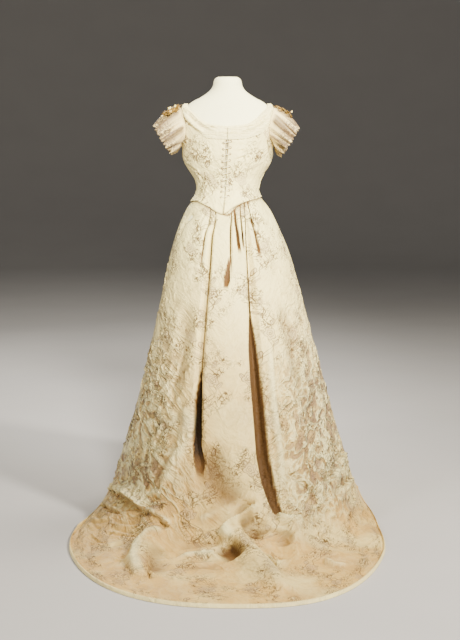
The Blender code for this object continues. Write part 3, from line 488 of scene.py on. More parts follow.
PLACE_KNOTS = (0, 2, HIP_ROW, KNEE_ROW, ANKLE_ROW, HEM_ROW)


def guide(values):
    """A place from its metres at the waist, hip, knee, ankle and hem."""
    values = (values[0], *values)
    return lambda level: read_curve(PLACE_KNOTS, values, level)


def share_place(share, side):
    """A place at a share of the half girth: up to 1 on the back half, then to the front."""
    return lambda level: side * share * back_length(level)


def between(first, second, share):
    return lambda level: lerp(first(level), second(level), share)


def moved(place, step):
    return lambda level: place(level) + step


def station_points(row, distance):
    """Points of the bare skirt at a station."""
    station = STATIONS[row]
    side = np.where(distance < 0, -1.0, 1.0)
    share = np.abs(distance) / BACK_LENGTHS[row]
    on_front = share > 1
    back_lengths, back_x, back_y = BACK_ARCS[row]
    front_lengths, front_x, front_y = FRONT_ARCS[row]
    along_front = front_lengths[-1] * (2 - share)

    def read(front, back):
        on_back = np.interp(np.abs(distance), back_lengths, back)
        return np.where(on_front, np.interp(along_front, front_lengths, front), on_back)

    x, y = read(front_x, back_x), read(front_y, -back_y)
    if row >= BODY_COUNT:
        height = np.where(
            on_front,
            lerp(station.side_z, station.front_z, smooth(share - 1)),
            lerp(station.back_z, station.side_z, share**3),
        )
        sway = station.sway
        if sway is None:
            sway = read_curve([s.y for s in FLOOR_SWAY], [s.shift for s in FLOOR_SWAY], y)
        return joined(side * x + sway, y, height)
    reach = np.where(on_front, station.front, station.back)
    angle = np.degrees(np.arctan2(side * x / station.side, -y / reach))
    body_row = BODY_ROWS[row]
    if body_row.below_edge is None:
        height = np.full_like(distance, SKIRT_TOP)
    else:
        height = edge_height(BASQUE_EDGE, angle) - body_row.below_edge
    return body_point(angle, height, np.full_like(height, body_row.off))


def skirt_bare(places, levels):
    """The skirt without folds: points by level and place, and their metres round."""
    rows = np.arange(LAST_ROW + 1, dtype=float)
    at_rows = np.array([place(rows) for place in places]).T
    stations = np.array([station_points(row, at_rows[row]) for row in range(LAST_ROW + 1)])
    i = np.clip(levels.astype(int), 0, LAST_ROW - 1)
    t = (levels - i)[:, None, None]
    before, a = stations[np.maximum(i - 1, 0)], stations[i]
    b, after = stations[i + 1], stations[np.minimum(i + 2, LAST_ROW)]
    points = spline(t, a, (b - before) / 2, b, (after - a) / 2)
    return points, np.array([place(levels) for place in places]).T


def ridge_rise(points):
    rise = np.zeros(points.shape[:2])
    for ridge in RIDGES:
        dx, dy = ridge.x1 - ridge.x0, ridge.y1 - ridge.y0
        along = (points[..., 0] - ridge.x0) * dx + (points[..., 1] - ridge.y0) * dy
        along = np.clip(along / (dx * dx + dy * dy), 0, 1)
        away = np.hypot(
            points[..., 0] - ridge.x0 - along * dx, points[..., 1] - ridge.y0 - along * dy
        )
        hump = np.exp(-((away / ridge.half) ** 2))
        rise += ridge.rise * hump * lerp(RIDGE_END, 1.0, np.sin(math.pi * along))
    return rise


SOFT_SHARE = 0.55              # share of a solid's pleat that stays round; the rest is its opening


def pleat_half(pleat, level):
    return lerp(pleat.half_top, pleat.half_low, smooth((level - 2) / PLEAT_WIDEN))


def pleat_depth(distance, level):
    """How far the cloth lies in from the bare skirt, in the pleats of the centre back."""
    deep = np.zeros(distance.shape)
    for pleat in PLEATS:
        run = (level - pleat.first) / (pleat.last - pleat.first)
        away = np.abs(distance - guide(pleat[:5])(level)) / pleat_half(pleat, level)
        depth = lerp(pleat.deep_top, pleat.deep_low, smooth(run * 2))
        start = smooth((level - pleat.first) / PLEAT_START)
        end = smooth((1 - run) / PLEAT_END)
        hollow = np.clip(1 - away * away, 0, 1) ** 1.5 * SOFT_SHARE
        hollow = hollow * (TOP_PLEAT + depth * start * end) * (run < 1)
        deep = np.maximum(deep, hollow)
    return deep


# The opening along the middle of each pleat, and the darkness of the painted shade in it. Each row
# is a level, a half width, a depth and a sideways shift.
Opening = namedtuple("Opening", "pleat dark rows")
OPENINGS = table(
    Opening,
    (0, 0.85, (
        (1.4, 0.0016, 0.000, 0), (2.5, 0.0020, 0.009, 0),
        (4.2, 0.0026, 0.009, 0), (5.2, 0.0050, 0.000, 0),
    )),
    (1, 1.0, (
        (1.4, 0.0018, 0.000, 0), (2.5, 0.0024, 0.010, 0),
        (5.0, 0.0026, 0.014, 0), (6.8, 0.0030, 0.018, 0.000),
        (7.05, 0.0085, 0.022, -0.002), (7.35, 0.0140, 0.028, -0.006),
        (7.62, 0.0165, 0.022, -0.009), (7.80, 0.0150, 0.013, -0.009),
        (8.00, 0.0120, 0.008, -0.007), (8.20, 0.0085, 0.004, -0.003),
        (8.38, 0.0060, 0.000, 0.001),
    )),
    (2, 0.95, (
        (1.4, 0.0018, 0.000, 0), (2.5, 0.0022, 0.009, 0),
        (4.7, 0.0024, 0.008, 0), (5.0, 0.0030, 0.003, 0),
        (5.3, 0.0030, 0.000, 0),
    )),
    (2, 0.78, (
        (4.70, 0.0030, 0.000, -0.004), (5.05, 0.0070, 0.012, -0.010),
        (5.30, 0.0130, 0.014, -0.014), (5.50, 0.0060, 0.000, -0.018),
    )),
    (3, 0.80, (
        (1.4, 0.0030, 0.000, -0.004), (2.6, 0.0046, 0.010, -0.003),
        (4.2, 0.0060, 0.010, 0.000), (4.7, 0.0060, 0.000, 0.003),
    )),
    (4, 0.95, (
        (1.5, 0.0018, 0.000, 0), (2.6, 0.0024, 0.010, 0),
        (4.1, 0.0034, 0.009, 0.002), (4.6, 0.0034, 0.000, 0.003),
    )),
    (5, 0.84, (
        (1.4, 0.0020, 0.000, -0.002), (2.6, 0.0032, 0.009, -0.003),
        (5.0, 0.0034, 0.014, -0.005), (5.9, 0.0040, 0.018, -0.006),
        (6.2, 0.0120, 0.015, -0.007), (6.5, 0.0190, 0.016, -0.007),
        (7.0, 0.0220, 0.016, -0.005), (7.5, 0.0225, 0.017, -0.001),
        (8.0, 0.0235, 0.018, 0.001), (8.4, 0.0220, 0.017, 0.009),
        (8.7, 0.0185, 0.014, 0.019), (8.9, 0.0150, 0.008, 0.027),
        (9.05, 0.0110, 0.000, 0.034),
    )),
    (6, 0.80, (
        (1.6, 0.0024, 0.000, -0.004), (2.7, 0.0046, 0.010, -0.003),
        (4.3, 0.0066, 0.010, 0.000), (4.9, 0.0066, 0.000, 0.002),
    )),
)
OPENING_SHADE_DEPTH = 0.006           # an opening this deep has the darkest painted shade
OPENING_BANK = 0.34            # share of an opening's half width that slopes
OPENING_RIM = 0.16             # the same for its shade, which has a sharper edge
FOLD_SHARE = 0.75              # shade of a fold; the rest up to 1 is for the blackest one
BLACK_SHADOW_DEPTH = 0.005            # the painted shade of openings deeper than this turns from brown to black
BLACK_SHADOW_SPAN = 0.006


def opening_depth(distance, level):
    """Depth of the pleats' openings and the painted shade in each."""
    deep, dark = np.zeros(distance.shape), np.zeros(distance.shape)
    for opening in OPENINGS:
        levels, halves, depths, shifts = zip(*opening.rows)
        inside = (level > levels[0]) & (level < levels[-1])
        half = np.interp(level, levels, halves)
        depth = np.interp(level, levels, depths) * inside
        middle = guide(PLEATS[opening.pleat][:5])(level) + np.interp(level, levels, shifts)
        inward = 1.0 - np.abs(distance - middle) / half
        deep = np.maximum(deep, depth * smooth(inward / OPENING_BANK))
        # Painted shade, brown in shallow openings and black in deep ones
        shade = lerp(FOLD_SHARE, 1.0, smooth((depth - BLACK_SHADOW_DEPTH) / BLACK_SHADOW_SPAN))
        shade = np.minimum(shade, opening.dark) * smooth(depth / OPENING_SHADE_DEPTH)
        dark = np.maximum(dark, shade * smooth(inward / OPENING_RIM))
    return deep, dark


# Creases seen in the photograph. Each runs through places given in its pixels, with a half
# width and a depth in metres. A trough sinks, a ridge rises, and a pinch rises on the left of
# its direction and sinks on the right. A lap does the same with a sharp edge.

Crease = namedtuple("Crease", "kind half depth line")
CREASES = table(
    Crease,
    ("lap", 0.024, 0.020, ((258, 502), (246, 510), (232, 523), (219, 531))),
    ("ridge", 0.022, 0.028, ((218, 531), (232, 538), (247, 550), (262, 566), (282, 590))),
    ("trough", 0.036, 0.030, ((223, 545), (231, 552), (240, 560))),
    ("trough", 0.048, 0.018, ((204, 444), (212, 470), (224, 490), (242, 504))),
    ("trough", 0.018, 0.020, ((253, 512), (244, 521), (238, 530))),
    ("trough", 0.018, 0.016, ((239, 531), (250, 537), (263, 533))),
    ("lap", 0.012, 0.010, ((256, 506), (246, 502), (236, 497))),
    ("trough", 0.026, 0.014, ((240, 528), (256, 526), (268, 532))),
    ("ridge", 0.024, 0.010, ((190, 396), (186, 436), (172, 466), (156, 496))),
    ("lap", 0.024, 0.020, ((104, 487), (124, 496), (145, 510))),
    ("lap", 0.020, 0.018, ((145, 512), (158, 519), (170, 527))),
    ("lap", 0.016, 0.010, ((98, 503), (110, 508), (122, 512))),
    ("ridge", 0.022, 0.026, ((164, 531), (150, 538), (141, 548), (136, 562), (140, 580))),
    ("trough", 0.030, 0.020, ((156, 546), (152, 560), (158, 576))),
    ("pinch", 0.012, 0.010, ((144, 552), (150, 562), (158, 568))),
    ("pinch", 0.012, 0.010, ((141, 564), (147, 574), (154, 580))),
    ("lap", 0.020, 0.020, ((300, 519), (290, 519), (276, 514))),
    ("ridge", 0.012, 0.014, ((298, 518), (299, 535), (297, 560))),
    ("trough", 0.026, 0.014, ((286, 530), (282, 548))),
    ("ridge", 0.014, 0.013, ((268, 330), (272, 390), (279, 450), (286, 502))),
    ("ridge", 0.014, 0.011, ((176, 558), (200, 554), (222, 556))),
    ("trough", 0.016, 0.009, ((176, 548), (200, 544), (222, 543))),
    ("trough", 0.016, 0.008, ((180, 568), (204, 566), (226, 570))),
    ("pinch", 0.018, 0.010, ((348, 449), (338, 462), (330, 484))),
    ("pinch", 0.018, 0.009, ((352, 476), (342, 486), (334, 502))),
    ("pinch", 0.014, 0.009, ((314, 462), (324, 474), (330, 484))),
    ("pinch", 0.014, 0.008, ((290, 470), (300, 482), (318, 490))),
    ("ridge", 0.016, 0.009, ((232, 506), (214, 516), (196, 520))),
    ("pinch", 0.016, 0.010, ((262, 556), (276, 566), (292, 564))),
    ("pinch", 0.018, 0.010, ((320, 560), (334, 566), (350, 568))),
    ("trough", 0.012, 0.006, ((195, 212), (184, 224), (178, 240))),
    ("pinch", 0.010, 0.005, ((246, 204), (254, 211), (262, 222))),
    ("pinch", 0.010, 0.005, ((240, 206), (249, 214), (256, 228))),
    ("pinch", 0.010, 0.005, ((208, 210), (203, 220), (196, 232))),
    ("trough", 0.030, 0.010, ((188, 300), (182, 350), (172, 410))),
    ("trough", 0.030, 0.010, ((282, 300), (292, 350), (304, 410))),
)
SKIRT_SHELL = 0.0010
HEM_ROLL = 0.0080              # the padded edge round the hem stands up by this much
HEM_ROLL_WIDTH = 0.020
HEM_HIGHLIGHT_REACH = 1.1                # roll widths at which the painted highlight on the hem's pale edge ends
RANDOM_SEED = 7
LAP_EDGE = 0.30                # share of a lap's half width that its edge takes
LAP_FALL = 1.2                 # how fast it falls away over the edge
LAP_HOLLOW = 0.75              # how deep the hollow beside the edge is, and how fast it ends
LAP_HOLLOW_FALL = 1.6
RIDGE_SPREAD = 1.6             # half widths at which a ridge or trough ends
CREASE_MARGIN = 2.5            # half widths out to which a crease reaches
CREASE_TAPER = 4               # a crease is whole past about a fifth of its length
CREASE_END = 0.15              # and starts with a little of its depth
CREASE_PALE = 0.0015           # creases sink this far before their painted shade starts, and rise as far before their painted highlight
CREASE_SHADE_DEPTH = 0.022
CREST_HIGHLIGHT_HEIGHT = 0.014             # ridges this high have the palest painted highlight
BASQUE_SHADOW = 0.75           # shade just under the edge of the bodice
BASQUE_LEVEL = 1.72
BASQUE_SPAN = 0.42


def to_line(points, line):
    """Distance of points from a line of points, the share along it and the side they are on."""
    best = np.full(points.shape[:-1], np.inf)
    along_all = np.zeros(best.shape)
    across = np.zeros(points.shape)
    count = len(line) - 1
    for number, (a, b) in enumerate(zip(line, line[1:])):
        way = b - a
        along = np.clip(((points - a) @ way) / (way @ way), 0, 1)
        off = points - a - along[..., None] * way
        away = np.linalg.norm(off, axis=-1)
        near = away < best
        best = np.where(near, away, best)
        along_all = np.where(near, (number + along) / count, along_all)
        across = np.where(near[..., None], np.cross(way, off), across)
    return best, along_all, across


def crease_shape(kind, away, half, side):
    """Height of a crease across its line, where 1 is its full depth."""
    if kind in ("ridge", "trough"):
        return bell(away / (half * RIDGE_SPREAD)) * (1 if kind == "ridge" else -1)
    t = away / half * side
    if kind == "pinch":
        # The factors put its crest, of height 1, half a half width from the line
        return t * np.exp(0.5 - 2.0 * t * t) * 2.0
    over = smooth(t / LAP_EDGE + 0.5)
    hollow = LAP_HOLLOW * np.exp(-LAP_HOLLOW_FALL * t * t)
    return over * np.exp(-LAP_FALL * t * t) - (1 - over) * hollow


def crease_rise(points, normals, creases):
    """How far creases, as (kind, half width, depth, line of points), move the cloth out."""
    rise = np.zeros(points.shape[:2])
    for kind, half, depth, line in creases:
        line, margin = np.array(line), half * CREASE_MARGIN
        low, high = line.min(axis=0) - margin, line.max(axis=0) + margin
        near = np.all((points > low) & (points < high), axis=-1)
        if not near.any():
            continue
        away, along, across = to_line(points[near], line)
        taper = smooth(np.minimum(along, 1 - along) * CREASE_TAPER + CREASE_END)
        side = np.sign(np.sum(across * normals[near], axis=-1))
        rise[near] += depth * taper * crease_shape(kind, away, half, side) * (away < margin)
    return rise


WHOLE_STEP = 0.05
WHOLE_LEVELS = np.arange(0, LAST_ROW + 0.01, WHOLE_STEP)
WHOLE_SHARES = np.linspace(-2, 2, 561)
SEEN_SHARE = 1.05              # the photograph shows the skirt up to a little past its sides


def whole_skirt():
    """The bare skirt all round, by level and share of the half girth."""
    places = [share_place(share, 1) for share in WHOLE_SHARES]
    return skirt_bare(places, WHOLE_LEVELS)[0]


def photo_line(points, line):
    """The points of a surface that lie under a line of places in the photograph."""
    points = points.reshape(-1, 3)
    places = photo_place(points)
    nearest = [np.argmin(np.sum((places - np.array(place)) ** 2, axis=1)) for place in line]
    return points[nearest]


def seen_creases(creases, surface):
    return [(c.kind, c.half, c.depth, photo_line(surface, c.line)) for c in creases]


def read_whole(whole, level, share):
    """Points of the bare skirt at levels and shares between the sampled ones."""
    row = np.clip(level / WHOLE_STEP, 0, len(WHOLE_LEVELS) - 1.001)
    column = np.clip((share + 2) / 4 * (len(WHOLE_SHARES) - 1), 0, len(WHOLE_SHARES) - 1.001)
    i, j = row.astype(int), column.astype(int)
    u, v = (row - i)[:, None], (column - j)[:, None]
    low = lerp(whole[i, j], whole[i, j + 1], v)
    high = lerp(whole[i + 1, j], whole[i + 1, j + 1], v)
    return lerp(low, high, u)


# Small creases by chance: how many, between which levels and shares of the half girth, and
# their mean length, half width and depth
Crumples = namedtuple(
    "Crumples", "count level_low level_high share_low share_high long half depth"
)
CRUMPLES = table(
    Crumples,
    (170, 6.8, 9.4, -1.0, -0.26, 0.13, 0.0085, 0.0034),
    (140, 6.8, 9.4, 0.32, 1.0, 0.14, 0.0090, 0.0032),
    (80, 5.0, 7.2, -1.0, -0.35, 0.13, 0.0080, 0.0018),
    (80, 5.0, 7.2, 0.40, 1.0, 0.13, 0.0080, 0.0018),
    (90, 9.2, 11.8, -0.8, 0.8, 0.16, 0.0110, 0.0040),
    (220, 6.0, 11.8, 1.0, 3.0, 0.13, 0.0090, 0.0030),
)
LEVELS_PER_METRE = 4.5         # on the lower skirt, about
CRUMPLE_TURN = (0.9, 0.5)      # mean and spread of their turn from straight down, radians
CRUMPLE_BEND = 0.02            # metres, spread of how far they bend
CRUMPLE_LONG = (0.4, 1.2)      # least and most of the mean length, half width and depth
CRUMPLE_WIDE = (0.6, 1.5)
CRUMPLE_DEEP = (0.4, 1.4)
CRUMPLE_HIGHEST = 2.2          # no crumple lies over this level
CRUMPLE_LOWEST = LAST_ROW - 0.2


def crumple_lines(whole):
    """Small seeded creases scattered over the skirt."""
    random = np.random.default_rng(RANDOM_SEED)
    steps = np.linspace(-0.5, 0.5, 5)
    made = []
    for group in CRUMPLES:
        for _ in range(group.count):
            level = random.uniform(group.level_low, group.level_high)
            share = random.uniform(group.share_low, group.share_high)
            if share > 2:
                share -= 4
            length = group.long * random.uniform(*CRUMPLE_LONG)
            turn = random.normal(*CRUMPLE_TURN) * (-1 if share < 0 else 1)
            bend = random.normal(0, CRUMPLE_BEND)
            girth = float(back_length(np.float64(level)))
            shares = share + (steps * length * math.sin(turn) + bend * steps**2) / girth
            levels = level + steps * length * math.cos(turn) * LEVELS_PER_METRE
            levels = np.clip(levels, CRUMPLE_HIGHEST, CRUMPLE_LOWEST)
            half = group.half * random.uniform(*CRUMPLE_WIDE)
            depth = group.depth * random.uniform(*CRUMPLE_DEEP) * random.choice((-1, 1))
            made.append(("pinch", half, depth, read_whole(whole, levels, shares)))
    return made


GHOST_STEP = 0.002             # how far beside a panel its ghost columns lie, in metres
# The floor's ridges and the creases grow from a level on, over a span, and fade at the hem
FLOOR_LEVEL, FLOOR_SPAN, FLOOR_FADE = 8.2, 1.2, 0.7
CREASE_LEVEL, CREASE_SPAN, CREASE_FADE = 2.2, 0.6, 0.25


def folded(bare, distance, levels, creases):
    """Points of the skirt with its pleats, ridges and creases, their rise and shade."""
    opening, dark = opening_depth(distance, levels[:, None])
    deep = pleat_depth(distance, levels[:, None]) + opening
    points = bare - grid_normals(bare) * deep[..., None]
    from_hem = LAST_ROW - levels
    on_floor = smooth(from_hem / FLOOR_FADE) * smooth((levels - FLOOR_LEVEL) / FLOOR_SPAN)
    points[..., 2] += ridge_rise(points) * on_floor[:, None]
    normals = grid_normals(points)
    creased = smooth((levels - CREASE_LEVEL) / CREASE_SPAN) * smooth(from_hem / CREASE_FADE)
    rise = crease_rise(points, normals, creases) * creased[:, None]
    return points + normals * rise[..., None], rise, dark


def panel_uv(bare, distance):
    """Metres round the cloth, and up it with 0 at its top edge."""
    steps = np.linalg.norm(np.diff(bare, axis=0), axis=-1)
    up = np.concatenate((np.zeros((1, bare.shape[1])), np.cumsum(steps, axis=0)))
    return np.stack((distance, up - up[-1:]), axis=-1)


def panel_shades(levels, rise, dark, from_edge):
    """Painted shade in the cloth's folds and under the bodice's edge, and painted highlight on its
    crests and hem.
    """
    sunk = np.clip((-rise - CREASE_PALE) / CREASE_SHADE_DEPTH, 0, 1) * FOLD_SHARE
    sunk = sunk + BASQUE_SHADOW * bell((levels - BASQUE_LEVEL) / BASQUE_SPAN)[:, None]
    shade = np.clip(dark + sunk, 0, np.maximum(dark, FOLD_SHARE))
    crest = smooth((rise - CREASE_PALE) / CREST_HIGHLIGHT_HEIGHT)
    return shade, np.maximum(smooth(HEM_HIGHLIGHT_REACH - from_edge / HEM_ROLL_WIDTH), crest)


def skirt_panel(name, node, places, levels, creases, look, cut):
    """One panel of the skirt, made with a ghost column on each side for its normals."""
    places = [moved(places[0], -GHOST_STEP), *places, moved(places[-1], GHOST_STEP)]
    bare, distance = skirt_bare(places, levels)
    points, rise, dark = folded(bare, distance, levels, creases)
    from_edge = np.linalg.norm(points - points[0], axis=-1)
    points[..., 2] += bell((from_edge - HEM_ROLL_WIDTH / 2) / HEM_ROLL_WIDTH) * HEM_ROLL
    points[..., 2] = np.maximum(points[..., 2], SKIRT_SHELL)
    points[0, :, 2] = SKIRT_SHELL
    shade, rim = panel_shades(levels, rise, dark, from_edge)
    inside = slice(1, -1)
    piece = shell(
        name, points[:, inside], SKIRT_SHELL, look, panel_uv(bare, distance)[:, inside],
        shade[:, inside], normals=grid_normals(points)[:, inside],
    )
    # The rim attribute holds the painted highlight on the hem and the crests
    add_shade(piece.data, "rim", np.tile(rim[:, inside].ravel(), 2))
    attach(piece, "root")
    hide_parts(node)


COLUMNS_BETWEEN = 22           # columns from one pleat to the next
COLUMNS_DRAWN = 0.6            # how much closer they are at the pleats: 0 is even
SIDE_BACK_STEPS, SIDE_STEPS, FRONT_STEPS = 60, 50, 40

# Flat sizes and areas of the gores, without turnings
Cut = namedtuple("Cut", "flat held area")
BACK_CUT = Cut((0.90, 2.02), "gathered", 0.95)
SIDE_BACK_CUT = Cut((0.56, 1.72), "hung", 0.44)
SIDE_CUT = Cut((0.44, 1.25), "hung", 0.31)
FRONT_CUT = Cut((0.64, 1.13), "hung", 0.49)

WAIST_LEVEL, TRAIN_LEVEL = 2, 8
WAIST_STEPS, LONG_STEPS = 9, 115  # rows down to each of these levels, and to the hem


def fine_levels():
    """Levels from the hem to the skirt's top, closer together on the train."""
    waist = np.linspace(0, WAIST_LEVEL, WAIST_STEPS)[:-1]
    upper = np.linspace(WAIST_LEVEL, TRAIN_LEVEL, LONG_STEPS)[:-1]
    return np.concatenate((waist, upper, np.linspace(TRAIN_LEVEL, LAST_ROW, LONG_STEPS)))[::-1]


def pleated_places(seams):
    """Columns of the centre back, which lie closer together at its pleats."""
    knots = [seams[0], *(guide(pleat[:5]) for pleat in PLEATS), seams[1]]
    places = [seams[0]]
    for first, second in zip(knots, knots[1:]):
        for k in range(1, COLUMNS_BETWEEN + 1):
            even = k / COLUMNS_BETWEEN
            share = lerp(even, 0.5 - 0.5 * math.cos(math.pi * even), COLUMNS_DRAWN)
            places.append(between(first, second, share))
    return places


def make_skirt(look):
    whole = whole_skirt()
    creases = seen_creases(CREASES, whole[:, np.abs(WHOLE_SHARES) < SEEN_SHARE])
    creases += crumple_lines(whole)
    seams = [guide(edge) for edge in BACK_SEAMS]
    made = (fine_levels(), creases, look)
    skirt_panel("back_gore", "skirt_back", pleated_places(seams), *made, BACK_CUT)
    for side, word, seam in ((-1, "left", seams[0]), (1, "right", seams[1])):
        side_seam = share_place(SIDE_BACK_SEAM, side)
        steps = range(SIDE_BACK_STEPS + 1)
        places = [between(seam, side_seam, k / SIDE_BACK_STEPS) for k in steps][::side]
        node = f"skirt_side_back_{word}"
        skirt_panel(f"side_back_gore_{word}", node, places, *made, SIDE_BACK_CUT)
        shares = np.linspace(SIDE_BACK_SEAM, SIDE_FRONT_SEAM, SIDE_STEPS + 1)
        places = [share_place(share, side) for share in shares][::side]
        skirt_panel(f"side_gore_{word}", f"skirt_side_{word}", places, *made, SIDE_CUT)
    shares = np.linspace(SIDE_FRONT_SEAM, 2.0, FRONT_STEPS + 1)
    places = [share_place(share, 1) for share in shares]
    places += [share_place(share, -1) for share in shares[-2::-1]]
    skirt_panel("front_gore", "skirt_front", places, *made, FRONT_CUT)


# The bodice

# Rows of the bodice, as shares of the height from its lower edge to the armholes
LOW_SHARES = np.linspace(0, 1, 49)
HIGH_STEPS = 16                # rows from there up to the neck edge
BACK_COLUMNS = 30
SIDE_BACK_COLUMNS = 26
ARM_STEPS = 18                 # columns along a quarter of an armhole
CHEST_STEPS = 70               # columns across the chest
BODICE_SHELL = 0.0010
GAP_DARK = 1.0                 # shade along the laced edges
SECOND_COLUMN = 0.4            # share of it one column further in
EDGE_DARK = 0.45               # shade along the lower edge
GIRTH_METRES = 0.125           # metres of cloth for each radian round the body


def bodice_off(height):
    share = smooth((BODICE_EASE_TOP - height) / (BODICE_EASE_TOP - WAIST_HEIGHT))
    return lerp(BODICE_OFF_CHEST, BODICE_OFF_WAIST, share)


def back_face(angle, height):
    return body_point(angle, height, bodice_off(height) + CLOTH)


def armhole_point(turn, grow=1.0):
    """Angle and height of the right armhole's edge. Turn 0 is its front and 90 its top."""
    angle = 90 + ARMHOLE_HALF_ANGLE * grow * np.cos(np.radians(turn))
    height = ARMHOLE_HEIGHT + ARMHOLE_HALF_HEIGHT * grow * np.sin(np.radians(turn))
    return angle, height


def centre_angle(share):
    return CENTRE_DRIFT * (1 - share)


def back_seam_point(share, side):
    start = float(edge_height(BASQUE_EDGE, side * BACK_SEAM[0].angle))
    height = lerp(start, ARMHOLE_HEIGHT, share)
    heights = [start] + [e.height for e in BACK_SEAM[1:]]
    return read_curve(heights, [e.angle for e in BACK_SEAM], height), height


def back_panel(side, columns, arm_steps):
    """Angles and heights of a back panel: the grid below the chest line and the one over it."""
    share = LOW_SHARES[:, None]
    across = np.linspace(0, 1, columns + 1)[None, :]
    seam_angle, _ = back_seam_point(share, side)
    angle = lerp(side * centre_angle(share), seam_angle, across)
    bottom = edge_height(BASQUE_EDGE, side * across * BACK_SEAM[0].angle)
    top = edge_height(CHEST_LINE, across * BACK_SEAM[-1].angle)
    height = lerp(bottom, top, share)
    arm = armhole_point(np.linspace(180, 90, arm_steps + 1)[1:])
    top_angle = np.concatenate((angle[-1], arm[0]))[None, :]
    top_height = np.concatenate((height[-1], arm[1]))[None, :]
    rise = np.linspace(0, 1, HIGH_STEPS + 1)[:, None]
    high = lerp(top_height, edge_height(NECK_EDGE, top_angle), rise)
    return (angle, height), (np.repeat(top_angle, HIGH_STEPS + 1, axis=0), high)


def side_back_panel(side, columns):
    share = LOW_SHARES[:, None]
    across = np.linspace(0, 1, columns + 1)[None, :]
    left_angle, left_height = back_seam_point(share, side)
    bottom = edge_height(BASQUE_EDGE, side * SIDE_SEAM_ANGLE)
    arm_start, arm_end = armhole_point(180.0), armhole_point(270.0)
    angle = lerp(left_angle, SIDE_SEAM_ANGLE, across)
    height = lerp(left_height, lerp(bottom, arm_end[1], share), across)
    hem_angle = lerp(BACK_SEAM[0].angle, SIDE_SEAM_ANGLE, across)
    hem = edge_height(BASQUE_EDGE, side * hem_angle)
    hem_straight = lerp(edge_height(BASQUE_EDGE, side * BACK_SEAM[0].angle), bottom, across)
    arm = armhole_point(180 + 90 * across)
    angle = angle + (arm[0] - lerp(arm_start[0], arm_end[0], across)) * share
    height = height + (arm[1] - lerp(arm_start[1], arm_end[1], across)) * share
    return angle, height + (hem - hem_straight) * (1 - share)


def front_panel(arm_steps, chest_steps):
    under = armhole_point(np.linspace(270, 360, arm_steps + 1))
    over = armhole_point(np.linspace(90, 0, arm_steps + 1))
    right = float(under[0][-1])
    chest = np.linspace(right, 360 - right, chest_steps + 1)[1:-1]
    line = edge_height(CHEST_LINE, chest)
    low_angle = np.concatenate((under[0], chest, 360 - under[0][::-1]))[None, :]
    low_height = np.concatenate((under[1], line, under[1][::-1]))[None, :]
    high_angle = np.concatenate((over[0], chest, 360 - over[0][::-1]))[None, :]
    high_height = np.concatenate((over[1], line, over[1][::-1]))[None, :]
    share = LOW_SHARES[:, None]
    rise = np.linspace(0, 1, HIGH_STEPS + 1)[:, None]
    low = lerp(edge_height(BASQUE_EDGE, low_angle), low_height, share)
    high = lerp(high_height, edge_height(NECK_EDGE, high_angle), rise)
    return (
        (np.repeat(low_angle, len(LOW_SHARES), axis=0), low),
        (np.repeat(high_angle, HIGH_STEPS + 1, axis=0), high),
    )


BONE_ANGLES = (9.0, 44.0, 66.0, 112.0, 150.0)  # boned channels at the waist, on each side
BONE_RISE = 0.0006
BONE_HALF = 2.2                # degrees
BONE_LEAN = 60                 # degrees outward for each metre up
BONE_TOP = 1.22
BONE_FADE = 0.04               # metres over which a channel ends
PIPING = 0.0016                # the cord along the lower edge stands out by this much
PIPING_HEIGHT = 0.0024         # its middle, over the edge
PIPING_HALF = 0.0030
SOFT_ANGLE_SCALE = 0.05        # soft creases run round the body: few in a degree
SOFT_HEIGHT_SCALE = 42.0       # and many in a metre up
SOFT_SEED = 3.0
SOFT_RISE = 0.0005
SOFT_WAIST = 1.095             # they are highest round this height
SOFT_WAIST_SPAN = 0.045
SOFT_WAIST_RISE = 0.0011
BODICE_CREASES = table(
    Crease,
    ("pinch", 0.0050, 0.0026, ((233, 151), (243, 149), (254, 150))),
    ("pinch", 0.0050, 0.0026, ((233, 159), (244, 156), (256, 158))),
    ("pinch", 0.0045, 0.0022, ((233, 166), (242, 163), (250, 165))),
    ("pinch", 0.0060, 0.0030, ((232, 136), (238, 138), (245, 136))),
    ("pinch", 0.0060, 0.0036, ((190, 165), (197, 170), (203, 178))),
    ("ridge", 0.0050, 0.0030, ((194, 171), (199, 177), (201, 183))),
    ("trough", 0.0050, 0.0022, ((196, 184), (203, 182), (210, 183))),
    ("pinch", 0.0060, 0.0026, ((206, 142), (210, 154), (209, 166))),
    ("pinch", 0.0050, 0.0022, ((250, 142), (248, 154), (251, 164))),
    ("pinch", 0.0050, 0.0028, ((265, 172), (260, 181), (258, 190))),
    ("pinch", 0.0050, 0.0026, ((213, 186), (206, 196), (200, 204))),
    ("pinch", 0.0050, 0.0022, ((240, 190), (250, 196), (260, 200))),
)


def bodice_relief(angle, height):
    """Small rises of the bodice: boned channels, its lower edge's piping and soft creases."""
    around = np.abs((angle + 180) % 360 - 180)
    rise = np.zeros(np.broadcast(angle, height).shape)
    lean = (height - WAIST_HEIGHT) * BONE_LEAN
    below_top = smooth((BONE_TOP - height) / BONE_FADE)
    for bone in BONE_ANGLES:
        rise = rise + BONE_RISE * bell((around - bone - lean) / BONE_HALF) * below_top
    over_edge = height - edge_height(BASQUE_EDGE, angle)
    rise = rise + PIPING * bell((over_edge - PIPING_HEIGHT) / PIPING_HALF)
    places = joined(angle * SOFT_ANGLE_SCALE, height * SOFT_HEIGHT_SCALE, SOFT_SEED)
    soft = rough(places, 1.0, 0.0)
    waist = np.exp(-(((height - SOFT_WAIST) / SOFT_WAIST_SPAN) ** 2))
    return rise + soft * (SOFT_RISE + SOFT_WAIST_RISE * waist)


BACK_GRID = np.meshgrid(np.linspace(-88, 88, 177), np.linspace(1.01, 1.32, 125))
BODICE_LINES = seen_creases(BODICE_CREASES, back_face(*BACK_GRID))


